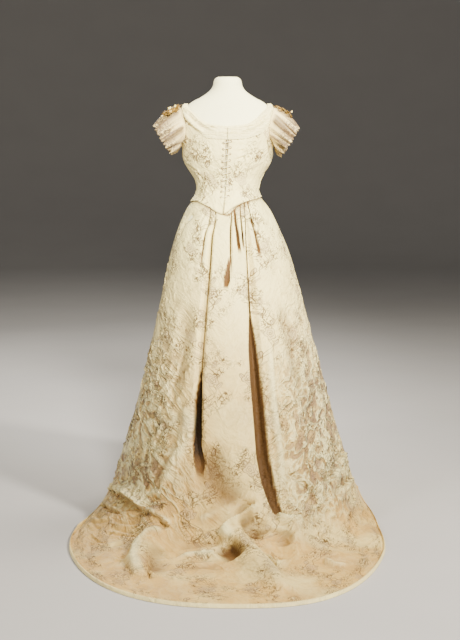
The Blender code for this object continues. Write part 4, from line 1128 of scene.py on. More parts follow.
def bodice_grid(angle, height, side, gaps):
    """Points of a bodice grid, set in at its first and last columns."""
    angle, height = np.broadcast_arrays(angle, height)
    out = bodice_off(height) + CLOTH + bodice_relief(side * angle, height)
    points = body_point(side * angle, height, out)
    normals = grid_normals(points) * side
    points = points + normals * crease_rise(points, normals, BODICE_LINES)[..., None]
    set_in(points, *gaps)
    uv = np.stack((side * np.radians(angle) * GIRTH_METRES, height), axis=-1)
    return points, uv


def joined_shell(name, low, high, shared, side, gaps, look, edge_shade=0.0):
    """A panel from a grid below the chest line and one over it, as one closed shell."""
    low_points, low_uv = bodice_grid(*low, side, gaps)
    high_points, high_uv = bodice_grid(*high, side, gaps)
    grids = (low_points, high_points)
    points = np.concatenate([grid.reshape(-1, 3) for grid in grids])
    normals = np.concatenate([grid_normals(grid).reshape(-1, 3) for grid in grids]) * side
    uv = np.concatenate((low_uv.reshape(-1, 2), high_uv.reshape(-1, 2)))
    rows, columns = low_points.shape[:2]
    first = rows * columns
    merge = np.arange(len(points))
    merge[first + shared] = (rows - 1) * columns + shared
    high_faces = merge[grid_faces(*high_points.shape[:2]) + first]
    faces = np.concatenate((grid_faces(rows, columns), high_faces))[:, ::side]
    # Painted shade along the laced edges, for the shadow in the gap between them, and along the
    # lower edge
    shade = np.zeros(len(points))
    shade[:first:columns] = edge_shade
    shade[1:first:columns] = edge_shade * SECOND_COLUMN
    shade[:columns] = np.maximum(shade[:columns], EDGE_DARK)
    piece = closed_shell(name, points, normals, faces, BODICE_SHELL, look, uv, shade)
    drop_loose(piece)
    return piece


def drop_loose(piece):
    """Takes away the points that no face uses."""
    builder = bmesh.new()
    builder.from_mesh(piece.data)
    loose = [vert for vert in builder.verts if not vert.link_faces]
    bmesh.ops.delete(builder, geom=loose, context="VERTS")
    builder.to_mesh(piece.data)
    builder.free()


def dress_panel(piece, node):
    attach(piece, "root")
    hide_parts(node)


def make_bodice(look):
    seam, lacing = SEAM / 2, LACING_GAP / 2
    for side, word in ((1, "right"), (-1, "left")):
        low, high = back_panel(side, BACK_COLUMNS, ARM_STEPS)
        shared = np.arange(BACK_COLUMNS + 1)
        piece = joined_shell(f"back_bodice_{word}", low, high, shared, side, (lacing, seam),
                             look, edge_shade=GAP_DARK)
        dress_panel(piece, f"bodice_back_{word}")
        angle, height = side_back_panel(side, SIDE_BACK_COLUMNS)
        points, uv = bodice_grid(angle, height, side, (seam, seam))
        piece = shell(f"side_back_bodice_{word}", points, BODICE_SHELL, look, uv, flip=side < 0)
        dress_panel(piece, f"bodice_side_back_{word}")
    low, high = front_panel(ARM_STEPS, CHEST_STEPS)
    shared = np.arange(ARM_STEPS, ARM_STEPS + CHEST_STEPS + 1)
    piece = joined_shell("front_bodice", low, high, shared, 1, (seam, seam), look)
    dress_panel(piece, "bodice_front")


# The draped band round the neckline

BERTHA_SHELL = 0.0010
BERTHA_SCALLOPS = 92           # lobes of its lace edges, all round
BERTHA_LOBE = 0.0030
NEAR_ARM, NEAR_ARM_SPAN = 1.2, 55  # from the side the space shrinks over these degrees
BERTHA_LOW_OFF = 0.0030        # its lower edge's outer face, out from the bodice
NECK_FRILL = 0.0050            # lace that stands over the neck edge, down on the form
NECK_FRILL_OFF = 0.0022        # its outer face, out from the body
FRILL_WAVE = 0.0006            # its scallops stand out and up by these
FRILL_LOBE = 0.0012
BAND_UNDER_NECK = 0.0004       # the folds end this far under the neck edge
LOW_PUCKER = 0.0005            # puckers of the band's lower edge
SCALLOP_ROUND = 0.6            # under 1 makes a lace edge's lobes rounder
FRILL_SHARE = 0.86             # share of the way up the band where the frill starts
BAND_FOLDS = 2.2               # folds one over the other
BAND_WANDER = 1.3              # how many folds they wander up and down by
BAND_FOLD_HEIGHT = 0.0030
BAND_ROUND = 0.70              # share of it that is round, and the share under all of it
BAND_BASE = 0.10
BAND_PUCKER = 0.0009
BAND_SINK = 0.0018             # no crease sinks further
BAND_SCALE = (14.0, 14.0, 60.0)  # unevenness and puckers for each metre across, back and up
PUCKER_SCALE = (95.0, 95.0, 26.0)
BAND_FOLD_SHADE, CREASE_SHADE = 0.30, 90  # shade between folds, and for each metre a crease sinks
BAND_GIRTH = 0.13              # metres of cloth for each radian round the body
BERTHA_CREASES = table(
    Crease,
    ("ridge", 0.0065, 0.0075, ((183, 113), (193, 124), (204, 133))),
    ("trough", 0.0045, 0.0060, ((187, 111), (198, 123), (211, 131))),
    ("pinch", 0.0050, 0.0026, ((192, 110), (205, 122), (218, 129))),
    ("pinch", 0.0050, 0.0026, ((184, 119), (190, 128), (197, 135))),
    ("pinch", 0.0050, 0.0026, ((270, 113), (258, 124), (242, 130))),
    ("trough", 0.0045, 0.0024, ((268, 120), (254, 130), (238, 134))),
    ("pinch", 0.0050, 0.0022, ((262, 113), (250, 121), (234, 128))),
)


def scallop(turn):
    """Lobes of a lace edge, from 0 between two of them to 1."""
    return np.abs(np.sin(turn)) ** SCALLOP_ROUND


def band_frill(share):
    return smooth((share - FRILL_SHARE) / (1 - FRILL_SHARE))


def band_offset(around, share, height, fold, puckers, lobe):
    """How far the band's outer face lies out from the body."""
    bodice_face = bodice_off(height) + CLOTH
    near_arm = smooth(NEAR_ARM - np.abs(around - SIDE_SEAM_ANGLE) / NEAR_ARM_SPAN)
    out = bodice_face + CLEAR + BERTHA_ARM_CLEAR * near_arm + CLOTH
    out = out + BAND_FOLD_HEIGHT * (BAND_ROUND * fold + BAND_BASE) + BAND_PUCKER * puckers
    lower = bodice_face + BERTHA_LOW_OFF + LOW_PUCKER * puckers
    out = lerp(lower, out, smooth(share * 4))
    return lerp(out, NECK_FRILL_OFF + FRILL_WAVE * lobe, band_frill(share))


def band_height(angle, share, lobe):
    """Heights of the band, with scallops along its lower edge and a frill over the neck edge."""
    low = edge_height(BERTHA_EDGE, (angle + 90) % 360 - 90)
    high = edge_height(NECK_EDGE, angle) - BAND_UNDER_NECK
    height = lerp(low, high, np.minimum(share / FRILL_SHARE, 1.0))
    height = height - BERTHA_LOBE * lobe * smooth(1 - share * 6)
    return height + band_frill(share) * (NECK_FRILL + FRILL_LOBE * lobe)


def make_bertha(look):
    """A gathered band with soft uneven folds and scalloped lace edges."""
    angle = np.linspace(0, 360, 721)
    # The column at 270, where the edge's table starts anew, is in both halves
    angle = np.concatenate((angle[angle <= 270], angle[angle >= 270]))[None, :]
    share = np.linspace(0, 1, 41)[:, None]
    around = np.abs((angle + 180) % 360 - 180)
    lobe = scallop(np.radians(angle) * BERTHA_SCALLOPS / 2)
    height = band_height(angle, share, lobe)
    angle = np.broadcast_to(angle, height.shape)
    flat = body_flat_point(angle, height)
    wander = BAND_WANDER * rough(flat, np.array(BAND_SCALE), 5.0)
    fold = 0.5 - 0.5 * np.cos(2 * math.pi * (BAND_FOLDS * share + wander))
    puckers = rough(flat, np.array(PUCKER_SCALE), 9.0, 2)
    points = body_point(angle, height, band_offset(around, share, height, fold, puckers, lobe))
    creases = seen_creases(BERTHA_CREASES, points[:, around[0] < 95])
    normals = grid_normals(points)
    on_folds = 1 - band_frill(share)
    rise = crease_rise(points, normals, creases) * on_folds * smooth(share * 5)
    points = points + normals * np.maximum(rise, -BAND_SINK)[..., None]
    set_in(points, LACING_GAP / 2, LACING_GAP / 2)
    uv = np.stack((np.radians(angle) * BAND_GIRTH, height), axis=-1)
    # Painted shade between the folds and in the sunk creases
    shade = np.clip((1 - fold) * BAND_FOLD_SHADE - rise * CREASE_SHADE, 0, 1) * on_folds
    piece = shell("neck_band", points, BERTHA_SHELL, look, uv, shade)
    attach(piece, "root")
    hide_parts("bertha")


# Sleeves

SLEEVE_SHELL = 0.0008
SLEEVE_FINE_COLUMNS = 432
SLEEVE_FINE_ROWS = 44
SLEEVE_PLEATS = 9              # folds that run down from the armhole
SLEEVE_FOLD = 0.0105
SLEEVE_FINE_WAVE = 0.0110      # the lace edge waves a little more than its solid
SLEEVE_LOBE = 0.0070           # lobes of the lace edge
LACE_EDGE_SHARE = 0.82         # share of the way down a sleeve where its lobes start
SLEEVE_SMALL_FOLD = 0.0012     # small folds between the larger ones
SLEEVE_GIRTH = 0.09            # metres of cloth for each radian round a sleeve
SLEEVE_LONG = 0.13
SLEEVE_START = 1.07            # its head lies a little outside the armhole


def sleeve_points(side, turn, share, ruffle):
    """Outer face of a sleeve. Turn goes round it, 0 at the front, and share down it.

    Ruffle is how far its waves stand out.
    """
    turn, share = np.broadcast_arrays(np.asarray(turn, float), np.asarray(share, float))
    angle, height = armhole_point(turn, SLEEVE_START)
    head = body_point(angle, height, bodice_off(height) + CLOTH + CLEAR + SLEEVE_WALL)
    depth_way, up_way = np.cos(np.radians(turn)), np.sin(np.radians(turn))
    up = np.array(CUFF_TOP_DIRECTION) / np.linalg.norm(CUFF_TOP_DIRECTION)
    centre = np.array(CUFF_CENTRE_RIGHT if side > 0 else CUFF_CENTRE_LEFT)
    cuff = centre + up * (CUFF_HALF_HEIGHT * up_way)[..., None]
    cuff[..., 1] += CUFF_HALF_DEPTH * depth_way
    out = unit(cuff - centre)
    middle = (head + cuff) / 2 + out * SLEEVE_PUFF
    s = share[..., None]
    point = head * (1 - s) ** 2 + middle * 2 * s * (1 - s) + cuff * s**2
    point = point + out * (ruffle * smooth(share * 1.15))[..., None]
    down = unit(cuff - head)
    edge_wave = np.cos(np.radians(turn) * SLEEVE_WAVES * 2)
    point = point + down * (SLEEVE_SCALLOP * edge_wave * share**6)[..., None]
    point[..., 0] *= side
    return point


def sleeve_wave(round_it):
    """Phase of the ruffle round a sleeve, in radians."""
    return round_it * SLEEVE_WAVES + 0.9 * np.sin(round_it * 2)


def sleeve_folds(round_it, share, side):
    """Folds that run down a sleeve: how far each point is out, and its painted shade.

    Waves of several lengths are added up, so that no two folds are alike.
    """
    phase = round_it * SLEEVE_PLEATS / 2 + 1.2 * np.sin(round_it * 3 + side)
    phase = phase + 0.7 * np.sin(round_it * 5 + 2.0 * side) + 0.35 * share
    uneven = 0.60 + 0.40 * np.sin(round_it * 7 + 2.0 * side)
    fold = np.abs(np.sin(phase)) ** 0.7
    small = np.abs(np.sin(phase * 2.5 + 1.2 * np.sin(round_it * 4))) ** 0.8
    lift = SLEEVE_FOLD * (fold - 0.6) * uneven + SLEEVE_SMALL_FOLD * (small - 0.5)
    hollow = 0.5 - 0.5 * np.cos(sleeve_wave(round_it))
    # Painted shade between the folds, and in the ruffle's hollows towards the edge
    dark = (1 - fold) ** 0.9 * uneven * 1.6 + hollow * 0.6 * share
    starts = smooth(share * 5)
    return lift * starts * (1.15 - 0.35 * share), np.clip(dark * starts, 0, 1)


def make_sleeve(side, word, look):
    turn = np.linspace(0, 360, SLEEVE_FINE_COLUMNS + 1)[:-1][None, :]
    share = np.linspace(1, 0, SLEEVE_FINE_ROWS)[:, None]
    round_it = np.radians(turn)
    swell = 0.75 + 0.35 * np.sin(round_it * 5 + 1.0 + side)
    ruffle = SLEEVE_FINE_WAVE * np.cos(sleeve_wave(round_it)) * swell
    points = sleeve_points(side, turn, share, ruffle)
    lift, shade = sleeve_folds(round_it, share, side)
    points = points + grid_normals(points, wrap=True) * side * lift[..., None]
    lobe = scallop(round_it * SLEEVE_WAVES)
    down = unit(points[:1] - points[6:7])
    drop = SLEEVE_LOBE * (lobe - 0.5) * smooth((share - LACE_EDGE_SHARE) / (1 - LACE_EDGE_SHARE))
    points = points + down * drop[..., None]
    uv = np.stack(np.broadcast_arrays(round_it * SLEEVE_GIRTH, share * SLEEVE_LONG), axis=-1)
    piece = shell(f"frilled_sleeve_{word}", points, SLEEVE_SHELL, look, uv, shade, wrap=True,
                  flip=side < 0)
    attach(piece, "root")
    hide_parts(f"sleeve_{word}")


# Lacing

TUBE_SKEW = Vector((0.1, 0.2, 1.0))  # a way that no tube runs


def add_ring(builder, centre, across, up, radius, sides):
    """Adds the points of a ring round a centre."""
    ring = []
    for k in range(sides):
        turn = 2 * math.pi * k / sides
        off = across * math.cos(turn) + up * math.sin(turn)
        ring.append(builder.verts.new(centre + off * radius))
    return ring


def join_rings(builder, rings):
    """Adds the faces between rings that follow one another."""
    sides = len(rings[0])
    for a, b in zip(rings, rings[1:]):
        for j in range(sides):
            k = (j + 1) % sides
            builder.faces.new((a[j], a[k], b[k], b[j]))


def tube(builder, line, radius, sides):
    """Adds a closed round tube along a line of points."""
    rings = []
    for number, centre in enumerate(line):
        ahead = line[min(number + 1, len(line) - 1)]
        behind = line[max(number - 1, 0)]
        way = (ahead - behind).normalized()
        across = way.cross(TUBE_SKEW).normalized()
        rings.append(add_ring(builder, centre, across, way.cross(across), radius, sides))
    join_rings(builder, rings)
    builder.faces.new(rings[0][::-1])
    builder.faces.new(rings[-1])


def built(name, builder, look):
    bmesh.ops.recalc_face_normals(builder, faces=builder.faces)
    mesh = bpy.data.meshes.new(name)
    builder.to_mesh(mesh)
    builder.free()
    mesh.materials.append(look)
    mesh.shade_smooth()
    piece = bpy.data.objects.new(name, mesh)
    bpy.context.scene.collection.objects.link(piece)
    return piece


def torus(builder, centre, normal, radius, thick, steps=14, sides=6):
    """Adds a round thread that lies in a closed ring on a surface."""
    across = normal.cross(Vector((0, 0, 1))).normalized()
    up = across.cross(normal).normalized()
    rings = []
    for k in range(steps):
        turn = 2 * math.pi * k / steps
        point = centre + (across * math.cos(turn) + up * math.sin(turn)) * radius
        out = (point - centre).normalized()
        rings.append(add_ring(builder, point, out, normal, thick, sides))
    join_rings(builder, [*rings, rings[0]])


LACE_SHOWN = 0.0015            # radius of the lace that shows
LACE_STEPS = 14
LACE_SIDES = 10
LACE_LIFT = 0.0008             # its middle is this much further out, and its ends
LACE_DIP = 0.0010              # lie this much deeper than the middle
EYELET_RADIUS = 0.0033
EYELET_THREAD = 0.0013
EYELET_SINK = 0.0012           # the eyelets lie this far under the ends of the lace


def lace_line(height, middle):
    """A strand from one eyelet to the other, which bends over the laced edges."""
    half_width = float(body_sizes(height)[0])
    line = []
    for share in np.linspace(0, 1, LACE_STEPS + 1):
        across = lerp(-LACE_HALF_SPAN, LACE_HALF_SPAN, share)
        angle = middle + math.degrees(math.asin(across / half_width))
        point = Vector(back_face(np.float64(angle), np.float64(height + LACE_SLANT * share)))
        lift = LACE_RADIUS + LACE_LIFT - LACE_DIP * abs(2 * share - 1) ** 6
        line.append(point - Vector((0, lift, 0)))
    return line


def make_lacing(cord_look, eyelet_look):
    bottom, chest = float(edge_height(BASQUE_EDGE, 0)), float(edge_height(CHEST_LINE, 0))
    eyelets = bmesh.new()
    for number in range(LACE_COUNT):
        height = LACE_TOP - LACE_PITCH * number
        line = lace_line(height, centre_angle((height - bottom) / (chest - bottom)))
        builder = bmesh.new()
        tube(builder, line, LACE_SHOWN, LACE_SIDES)
        piece = built(f"lacing_{number + 1:02d}", builder, cord_look)
        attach(piece, "root")
        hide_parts(f"lace_{number + 1:02d}")
        for end in (line[0], line[-1]):
            centre = end + Vector((0, EYELET_SINK, 0))
            torus(eyelets, centre, Vector((0, -1, 0)), EYELET_RADIUS, EYELET_THREAD)
    piece = built("worked_eyelets", eyelets, eyelet_look)
    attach(piece, "root")


# Orange blossom sprays


def egg(builder, centre, ways, sizes, point):
    """Adds an egg-shaped bud or leaf; point draws its far end out."""
    made = bmesh.ops.create_icosphere(builder, subdivisions=2, radius=1.0)
    for vert in made["verts"]:
        narrow = 1.0 - point * smooth(vert.co.x)
        moves = (vert.co.x * sizes[0], vert.co.y * sizes[1] * narrow, vert.co.z * sizes[2] * narrow)
        vert.co = centre + ways[0] * moves[0] + ways[1] * moves[1] + ways[2] * moves[2]


SPRAY_LEAVES = {"left": 76, "right": 34}
SPRAY_BUDS = {"left": 14, "right": 7}
LEAF_SIZES = (0.0140, 0.0058, 0.0011)
LEAF_POINT, BUD_POINT = 0.6, 0.5
LEAF_TURN, LEAF_TURN_SPREAD = 96, 8  # degrees round the sleeve
LEAF_SHARES = (0.06, 0.58)     # highest and lowest on the sleeve
LEAF_LIFTS = (0.004, 0.013)
LEAF_RISES = (-0.2, 0.6)       # how far leaves point down or up
BUD_SIZES = (0.0026, 0.0040)   # smallest and largest
BUD_LIFT = 0.001
BUD_OUT = 0.004                # how much more outward than aside a bud points
BUD_SKEW = Vector((0.3, 0.9, 0.2))  # a way that hardly any bud points
BUD_LONG = 1.6                 # length over width
BUD_SPREAD = 0.0048            # metres round its lump of the solid


def spray_frame(side, turn, share, lift):
    """Centre and three ways of something that lies on a sleeve."""
    centre = Vector(sleeve_points(side, turn, share, np.float64(SLEEVE_WAVE_HEIGHT)))
    ends = [
        Vector(sleeve_points(side, turn, share + step, np.float64(0)))
        for step in (-0.05, 0.05)
    ]
    along = (ends[1] - ends[0]).normalized()
    up = Vector((0, 0, 1))
    up = (up - along * up.dot(along)).normalized()
    return centre + up * lift, (along, along.cross(up), up)


def add_leaf(builder, random, side, lean):
    turn = LEAF_TURN + lean + random.normal(0, LEAF_TURN_SPREAD)
    share, lift = random.uniform(*LEAF_SHARES), random.uniform(*LEAF_LIFTS)
    centre, ways = spray_frame(side, turn, share, lift)
    spin = random.uniform(0, 2 * math.pi)
    along = ways[0] * math.cos(spin) + ways[1] * math.sin(spin)
    along = (along + ways[2] * random.uniform(*LEAF_RISES)).normalized()
    across = along.cross(ways[2]).normalized()
    egg(builder, centre, (along, across, along.cross(across)), LEAF_SIZES, LEAF_POINT)


def add_bud(builder, random, side, lean, lump):
    centre, ways = spray_frame(side, lump.turn + lean, lump.share, lump.lift + BUD_LIFT)
    off = Vector(random.normal(0, BUD_SPREAD, 3))
    way = (off + ways[2] * BUD_OUT).normalized()
    across = way.cross(BUD_SKEW).normalized()
    size = random.uniform(*BUD_SIZES)
    sizes = (size * BUD_LONG, size, size)
    egg(builder, centre + off, (way, across, way.cross(across)), sizes, BUD_POINT)


def make_spray(side, word, lean, leaf_look, bud_look):
    random = np.random.default_rng(RANDOM_SEED + (1 if side > 0 else 2))
    leaves, buds = bmesh.new(), bmesh.new()
    for _ in range(SPRAY_LEAVES[word]):
        add_leaf(leaves, random, side, lean)
    for number in range(SPRAY_BUDS[word]):
        add_bud(buds, random, side, lean, BUD_LUMPS[number % len(BUD_LUMPS)])
    parts = ((f"spray_leaves_{word}", leaves, leaf_look), (f"spray_buds_{word}", buds, bud_look))
    for name, builder, look in parts:
        piece = built(name, builder, look)
        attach(piece, "root")
        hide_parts(f"blossom_{word}")


# The dress form

FORM_FINE_COLUMNS = 128
FORM_SHOULDER = 1.30           # rows are closer together over this height
FORM_TOP = 1.4695
FORM_ROWS = 60                 # under that height, and over it
FORM_GIRTH = 0.15              # metres of cover for each radian round the form


def make_form(look):
    """The limbless form, with a domed top to its neck."""
    lower = np.linspace(FORM_BOTTOM, FORM_SHOULDER, FORM_ROWS)[:-1]
    heights = np.concatenate((lower, np.linspace(FORM_SHOULDER, FORM_TOP, FORM_ROWS)))
    angles = np.linspace(0, 360, FORM_FINE_COLUMNS + 1)[:-1]
    angle, height = np.meshgrid(angles, heights)
    points = body_point(angle, height, np.full(angle.shape, FORM_OFF), FORM_BUST)
    points[..., 2] = np.maximum(points[..., 2], FORM_BOTTOM)
    points[0, :, 2] = FORM_BOTTOM
    rows, columns = angle.shape
    faces = grid_faces(rows, columns, wrap=True).tolist()
    faces.append(list(range(columns))[::-1])
    faces.append(list(range((rows - 1) * columns, rows * columns)))
    uv = np.stack((np.radians(angle) * FORM_GIRTH, height), axis=-1).reshape(-1, 2)
    piece = mesh_piece("form_body", points.reshape(-1, 3), faces, look, uv)
    piece.data.set_sharp_from_angle(angle=SHARP_ANGLE)
    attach(piece, "root")
    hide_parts("form_torso")


# Materials. A field is a number over a surface, and a look is a material made from fields.


def look_with(name, colour, roughness, **inputs):
    look = bpy.data.materials.new(name)
    look.use_nodes = True
    shader = look.node_tree.nodes["Principled BSDF"]
    shader.inputs["Base Color"].default_value = (*colour, 1.0)
    shader.inputs["Roughness"].default_value = roughness
    for key, value in inputs.items():
        shader.inputs[key.replace("_", " ")].default_value = value
    return look


class Field:
    """A number that varies over a surface, worked out by math nodes."""

    def __init__(self, tree, socket):
        self.tree = tree
        self.socket = socket

    def math(self, operation, *others):
        node = self.tree.nodes.new("ShaderNodeMath")
        node.operation = operation
        for place, value in zip(node.inputs, (self, *others)):
            if isinstance(value, Field):
                self.tree.links.new(value.socket, place)
            else:
                place.default_value = value
        return Field(self.tree, node.outputs[0])

    def __add__(self, other):
        return self.math("ADD", other)

    def __sub__(self, other):
        return self.math("SUBTRACT", other)

    def __mul__(self, other):
        return self.math("MULTIPLY", other)

    def __truediv__(self, other):
        return self.math("DIVIDE", other)

    def size(self):
        return self.math("ABSOLUTE")

    def floor(self):
        return self.math("FLOOR")

    def turned_over(self):
        """1 less the field."""
        return self * -1.0 + 1.0

    def sine(self):
        return self.math("SINE")

    def highest(self, other):
        return self.math("MAXIMUM", other)

    def limited(self):
        node = self.tree.nodes.new("ShaderNodeClamp")
        self.tree.links.new(self.socket, node.inputs[0])
        return Field(self.tree, node.outputs[0])

    def ramp(self, low, high):
        """0 below low, 1 above high."""
        return ((self - low) / (high - low)).limited()

    def below(self, edge, soft):
        """1 where the field is under the edge, with a soft border."""
        return ((self * -1.0 + edge) / soft + 0.5).limited()


def noise_field(tree, vector, scale, detail=2.0, distortion=0.0):
    node = tree.nodes.new("ShaderNodeTexNoise")
    node.inputs["Scale"].default_value = scale
    node.inputs["Detail"].default_value = detail
    node.inputs["Distortion"].default_value = distortion
    tree.links.new(vector, node.inputs["Vector"])
    return Field(tree, node.outputs["Fac"])


def attribute_field(tree, name):
    node = tree.nodes.new("ShaderNodeAttribute")
    node.attribute_name = name
    return Field(tree, node.outputs["Fac"])


def mixed(tree, share, first, second):
    """A colour between two, each a colour or a socket."""
    node = tree.nodes.new("ShaderNodeMix")
    node.data_type = "RGBA"
    tree.links.new(share.socket, node.inputs["Factor"])
    for place, value in ((6, first), (7, second)):
        if isinstance(value, tuple):
            node.inputs[place].default_value = (*value, 1.0)
        else:
            tree.links.new(value, node.inputs[place])
    return node.outputs[2]


def bumped(tree, shader, height, distance):
    node = tree.nodes.new("ShaderNodeBump")
    node.inputs["Distance"].default_value = distance
    tree.links.new(height.socket, node.inputs["Height"])
    tree.links.new(node.outputs["Normal"], shader.inputs["Normal"])


# The woven garland, in metres on the cloth
GARLAND_WIDTH = 0.20           # from one garland to the next
GARLAND_REPEAT = 0.30
GARLAND_SWAY = 0.040
GARLAND_SMALL_SWAY = 0.010
LINE_HALF = 0.0012
THIN_LINE_HALF = 0.0009
LINE_SOFT = 0.0008
Ribbon = namedtuple("Ribbon", "sway turns start half")
RIBBONS = (Ribbon(0.013, 4.0, 0.0, 0.0019), Ribbon(-0.012, 5.0, 0.7, 0.0016))
LEAF_STEP = 0.036
LEAF_OUT = 0.020               # a leaf's middle, from the stem
LEAF_TILT = 0.75               # radians
LEAF_HALF_LONG = 0.0150
LEAF_HALF_WIDE = 0.0058
LEAF_LINE = (0.14, 0.12)       # half width and softness of its outline, as shares of its size
LEAF_SOFT = 0.15
VEIN_HALF = 0.0006
PETALS = 5
PETAL_LONG = 0.0075
PETAL_START = 0.0165           # reach of a flower between two petals
INNER_PETAL = 0.55             # share of its size at which a flower's inner line runs
HEART_RADIUS = 0.0045
STROKE_LINE = (0.038, 0.018)   # half width and softness of the strokes, as shares of a noise
STROKE_REACH = 0.090
STROKE_FADE = 0.030
STROKE_PATCHES = (0.46, 0.52)
WORN = (0.35, 0.60)
WORN_LEAST = 0.35              # strength of the lines where they are most worn

# Noises: features in a metre, about, how fine their detail is, and how drawn out they are
STROKE_NOISE = (75.0, 2.0, 0.6)
PATCH_NOISE = (11.0, 1.0)
WORN_NOISE = (22.0, 2.0)
COARSE_CREASES = (17.0, 3.0, 1.0)
FINE_CREASES = (42.0, 2.0, 0.8)
LIT_PATCH_NOISE = (4.5, 2.0)
SHADOW_NOISE = (13.0, 3.0)
MOTTLE_NOISE = (8.0, 4.0)
WRINKLE_NOISE = (30.0, 4.0, 1.2)
WEAVE_NOISE = (900.0, 1.0)


def ribbon_lines(off, turn):
    """Ribbons that cross one another along the garland."""
    lines = None
    for ribbon in RIBBONS:
        line = (off - (turn * ribbon.turns + ribbon.start).sine() * ribbon.sway).size()
        line = line.below(ribbon.half, LINE_SOFT)
        lines = line if lines is None else lines.highest(line)
    return lines


def leaf_lines(off, down):
    """Leaves on both sides of the stem in turn: outlines, veins and what they fill."""
    row = (down / LEAF_STEP).floor()
    y = down - (row + 0.5) * LEAF_STEP
    side = (row * math.pi + math.pi / 2).sine()
    x = off * side - LEAF_OUT
    cos, sin = math.cos(LEAF_TILT), math.sin(LEAF_TILT)
    long = (x * cos + y * sin) / LEAF_HALF_LONG
    wide = (y * cos - x * sin) / LEAF_HALF_WIDE
    reach = (long * long + wide * wide).math("SQRT")
    filled = reach.below(1.0, LEAF_SOFT)
    outline = (reach - 1.0).size().below(*LEAF_LINE)
    vein = (wide * LEAF_HALF_WIDE).size().below(VEIN_HALF, VEIN_HALF) * filled
    return outline, vein, filled


def flower_lines(off, down):
    """Open flowers: outlines, the lines inside them and what they fill."""
    step = GARLAND_REPEAT / 2
    row = (down / step).floor()
    y = down - (row + 0.5) * step
    radius = (off * off + y * y).math("SQRT")
    around = y.math("ARCTAN2", off)
    petal = (around * (PETALS / 2)).sine().size() * PETAL_LONG + PETAL_START
    filled = (radius - petal).below(0.0, LINE_HALF)
    outline = (radius - petal).size().below(LINE_HALF, LINE_SOFT)
    inner = (radius - petal * INNER_PETAL).size().below(THIN_LINE_HALF, LINE_SOFT)
    heart = (radius - HEART_RADIUS).size().below(THIN_LINE_HALF, LINE_SOFT)
    return outline, inner.highest(heart), filled


def garland(x, y, tree, vector):
    """Outlines and filled shapes of a winding garland of leaves, flowers and ribbons."""
    column = (x / GARLAND_WIDTH).floor()
    local = x - (column + 0.5) * GARLAND_WIDTH
    down = y + column * (GARLAND_REPEAT / 2)
    turn = down * (2 * math.pi / GARLAND_REPEAT)
    off = local - turn.sine() * GARLAND_SWAY
    off = off - (turn * 2.0 + 1.0).sine() * GARLAND_SMALL_SWAY
    ribbons = ribbon_lines(off, turn)
    leaf_line, vein, leaf_fill = leaf_lines(off, down)
    flower_line, inner_line, flower_fill = flower_lines(off, down)
    strokes = (noise_field(tree, vector, *STROKE_NOISE) - 0.5).size().below(*STROKE_LINE)
    zone = (off.size() * -1.0 + STROKE_REACH).ramp(0.0, STROKE_FADE)
    strokes = strokes * zone * noise_field(tree, vector, *PATCH_NOISE).ramp(*STROKE_PATCHES)
    lines = ribbons.highest(leaf_line).highest(vein) * flower_fill.turned_over()
    lines = lines.highest(flower_line).highest(inner_line * flower_fill).highest(strokes)
    worn = noise_field(tree, vector, *WORN_NOISE).ramp(*WORN)
    return lines * (worn * (1 - WORN_LEAST) + WORN_LEAST), leaf_fill.highest(flower_fill)


def cloth_vector(tree):
    node = tree.nodes.new("ShaderNodeUVMap")
    node.uv_map = "cloth"
    return node.outputs["UV"]


def split(tree, vector):
    node = tree.nodes.new("ShaderNodeSeparateXYZ")
    tree.links.new(vector, node.inputs[0])
    return [Field(tree, socket) for socket in node.outputs]


# Colours of the brocaded silk, and of the painted shade and highlights laid over it
SATIN_HIGH = (0.93, 0.81, 0.345)
SATIN_HIGHLIGHT = (0.95, 0.83, 0.40)
SATIN_HEM_SHADE = (0.65, 0.405, 0.110)
SATIN_FOLD_SHADE = (0.130, 0.062, 0.016)
SATIN_DEEP_SHADOW = (0.022, 0.011, 0.003)
SATIN_MOTTLE_AND_SHADE = (0.28, 0.17, 0.09)
SILVER_TAN = (0.46, 0.33, 0.19)
OUTLINE_TAN = (0.105, 0.058, 0.020)

# Ramps of the silk's colours: each starts at the first number and is whole at the second.
# They are heights, metres out from the middle, metres to the front, or shares of a noise.
HEM_SHADE_HEIGHTS = (0.10, 0.95)    # painted shade: warm and dark at the first, pale at the second, as the light falls off towards the hem
CRUMPLED_OUT = (0.10, 0.26)
CRUMPLED_FROM = (0.03, 0.14)
CRUMPLED_TO = (0.45, 0.80)
BEHIND = (-0.02, 0.20)
FLANK_OUT = (0.06, 0.15)
FLANK_HEIGHTS = (1.06, 1.16)
SHADOW_PATCHES = (0.50, 0.62)
LIT_PATCH_RAMP = (0.48, 0.60)
MOTTLE_PATCHES = (0.45, 0.72)
VALLEYS = (0.1, 0.7)
CRESTS = (0.75, 1.05)
FRONT_LEAST = 0.40             # share of the crumples that the front of the skirt keeps
CREASED_LEAST = 0.12           # the same outside the band of crumples
CREASE_STRETCH = 0.40          # under 1 draws the crumples out along their length
COARSE_SHARP, FINE_SHARP = 6.0, 5.0
FINE_SHARE = 0.35

# How much of each colour is laid over the silk
LIT_PATCH_SHARE = 0.45
SHADOW_SHARE = 0.68
FLANK_SHADE_SHARE = 0.24
MOTTLE_HIGH, MOTTLE_LOW = 0.13, 0.20  # everywhere, and added towards the hem
VALLEY_SHADE_SHARE = 0.90
CREST_HIGHLIGHT_SHARE = 0.95
FILL_SHARE = 0.38
LINE_SHARE = 0.92
RIM_HIGHLIGHT_SHARE = 0.78

# How rough the silk is, and how much each thing lifts its surface
SILK_SPECULAR = 0.16
SILK_ROUGH, WOVEN_ROUGH, FOLD_ROUGH = 0.38, 0.20, 0.25
WRINKLE_HIGH, WRINKLE_LOW = 0.75, 0.20
CREASE_LIFT = 2.4
FILL_LIFT, LINE_LIFT, WEAVE_LIFT = 0.06, 0.05, 0.012
SILK_RELIEF = 0.0055           # metres


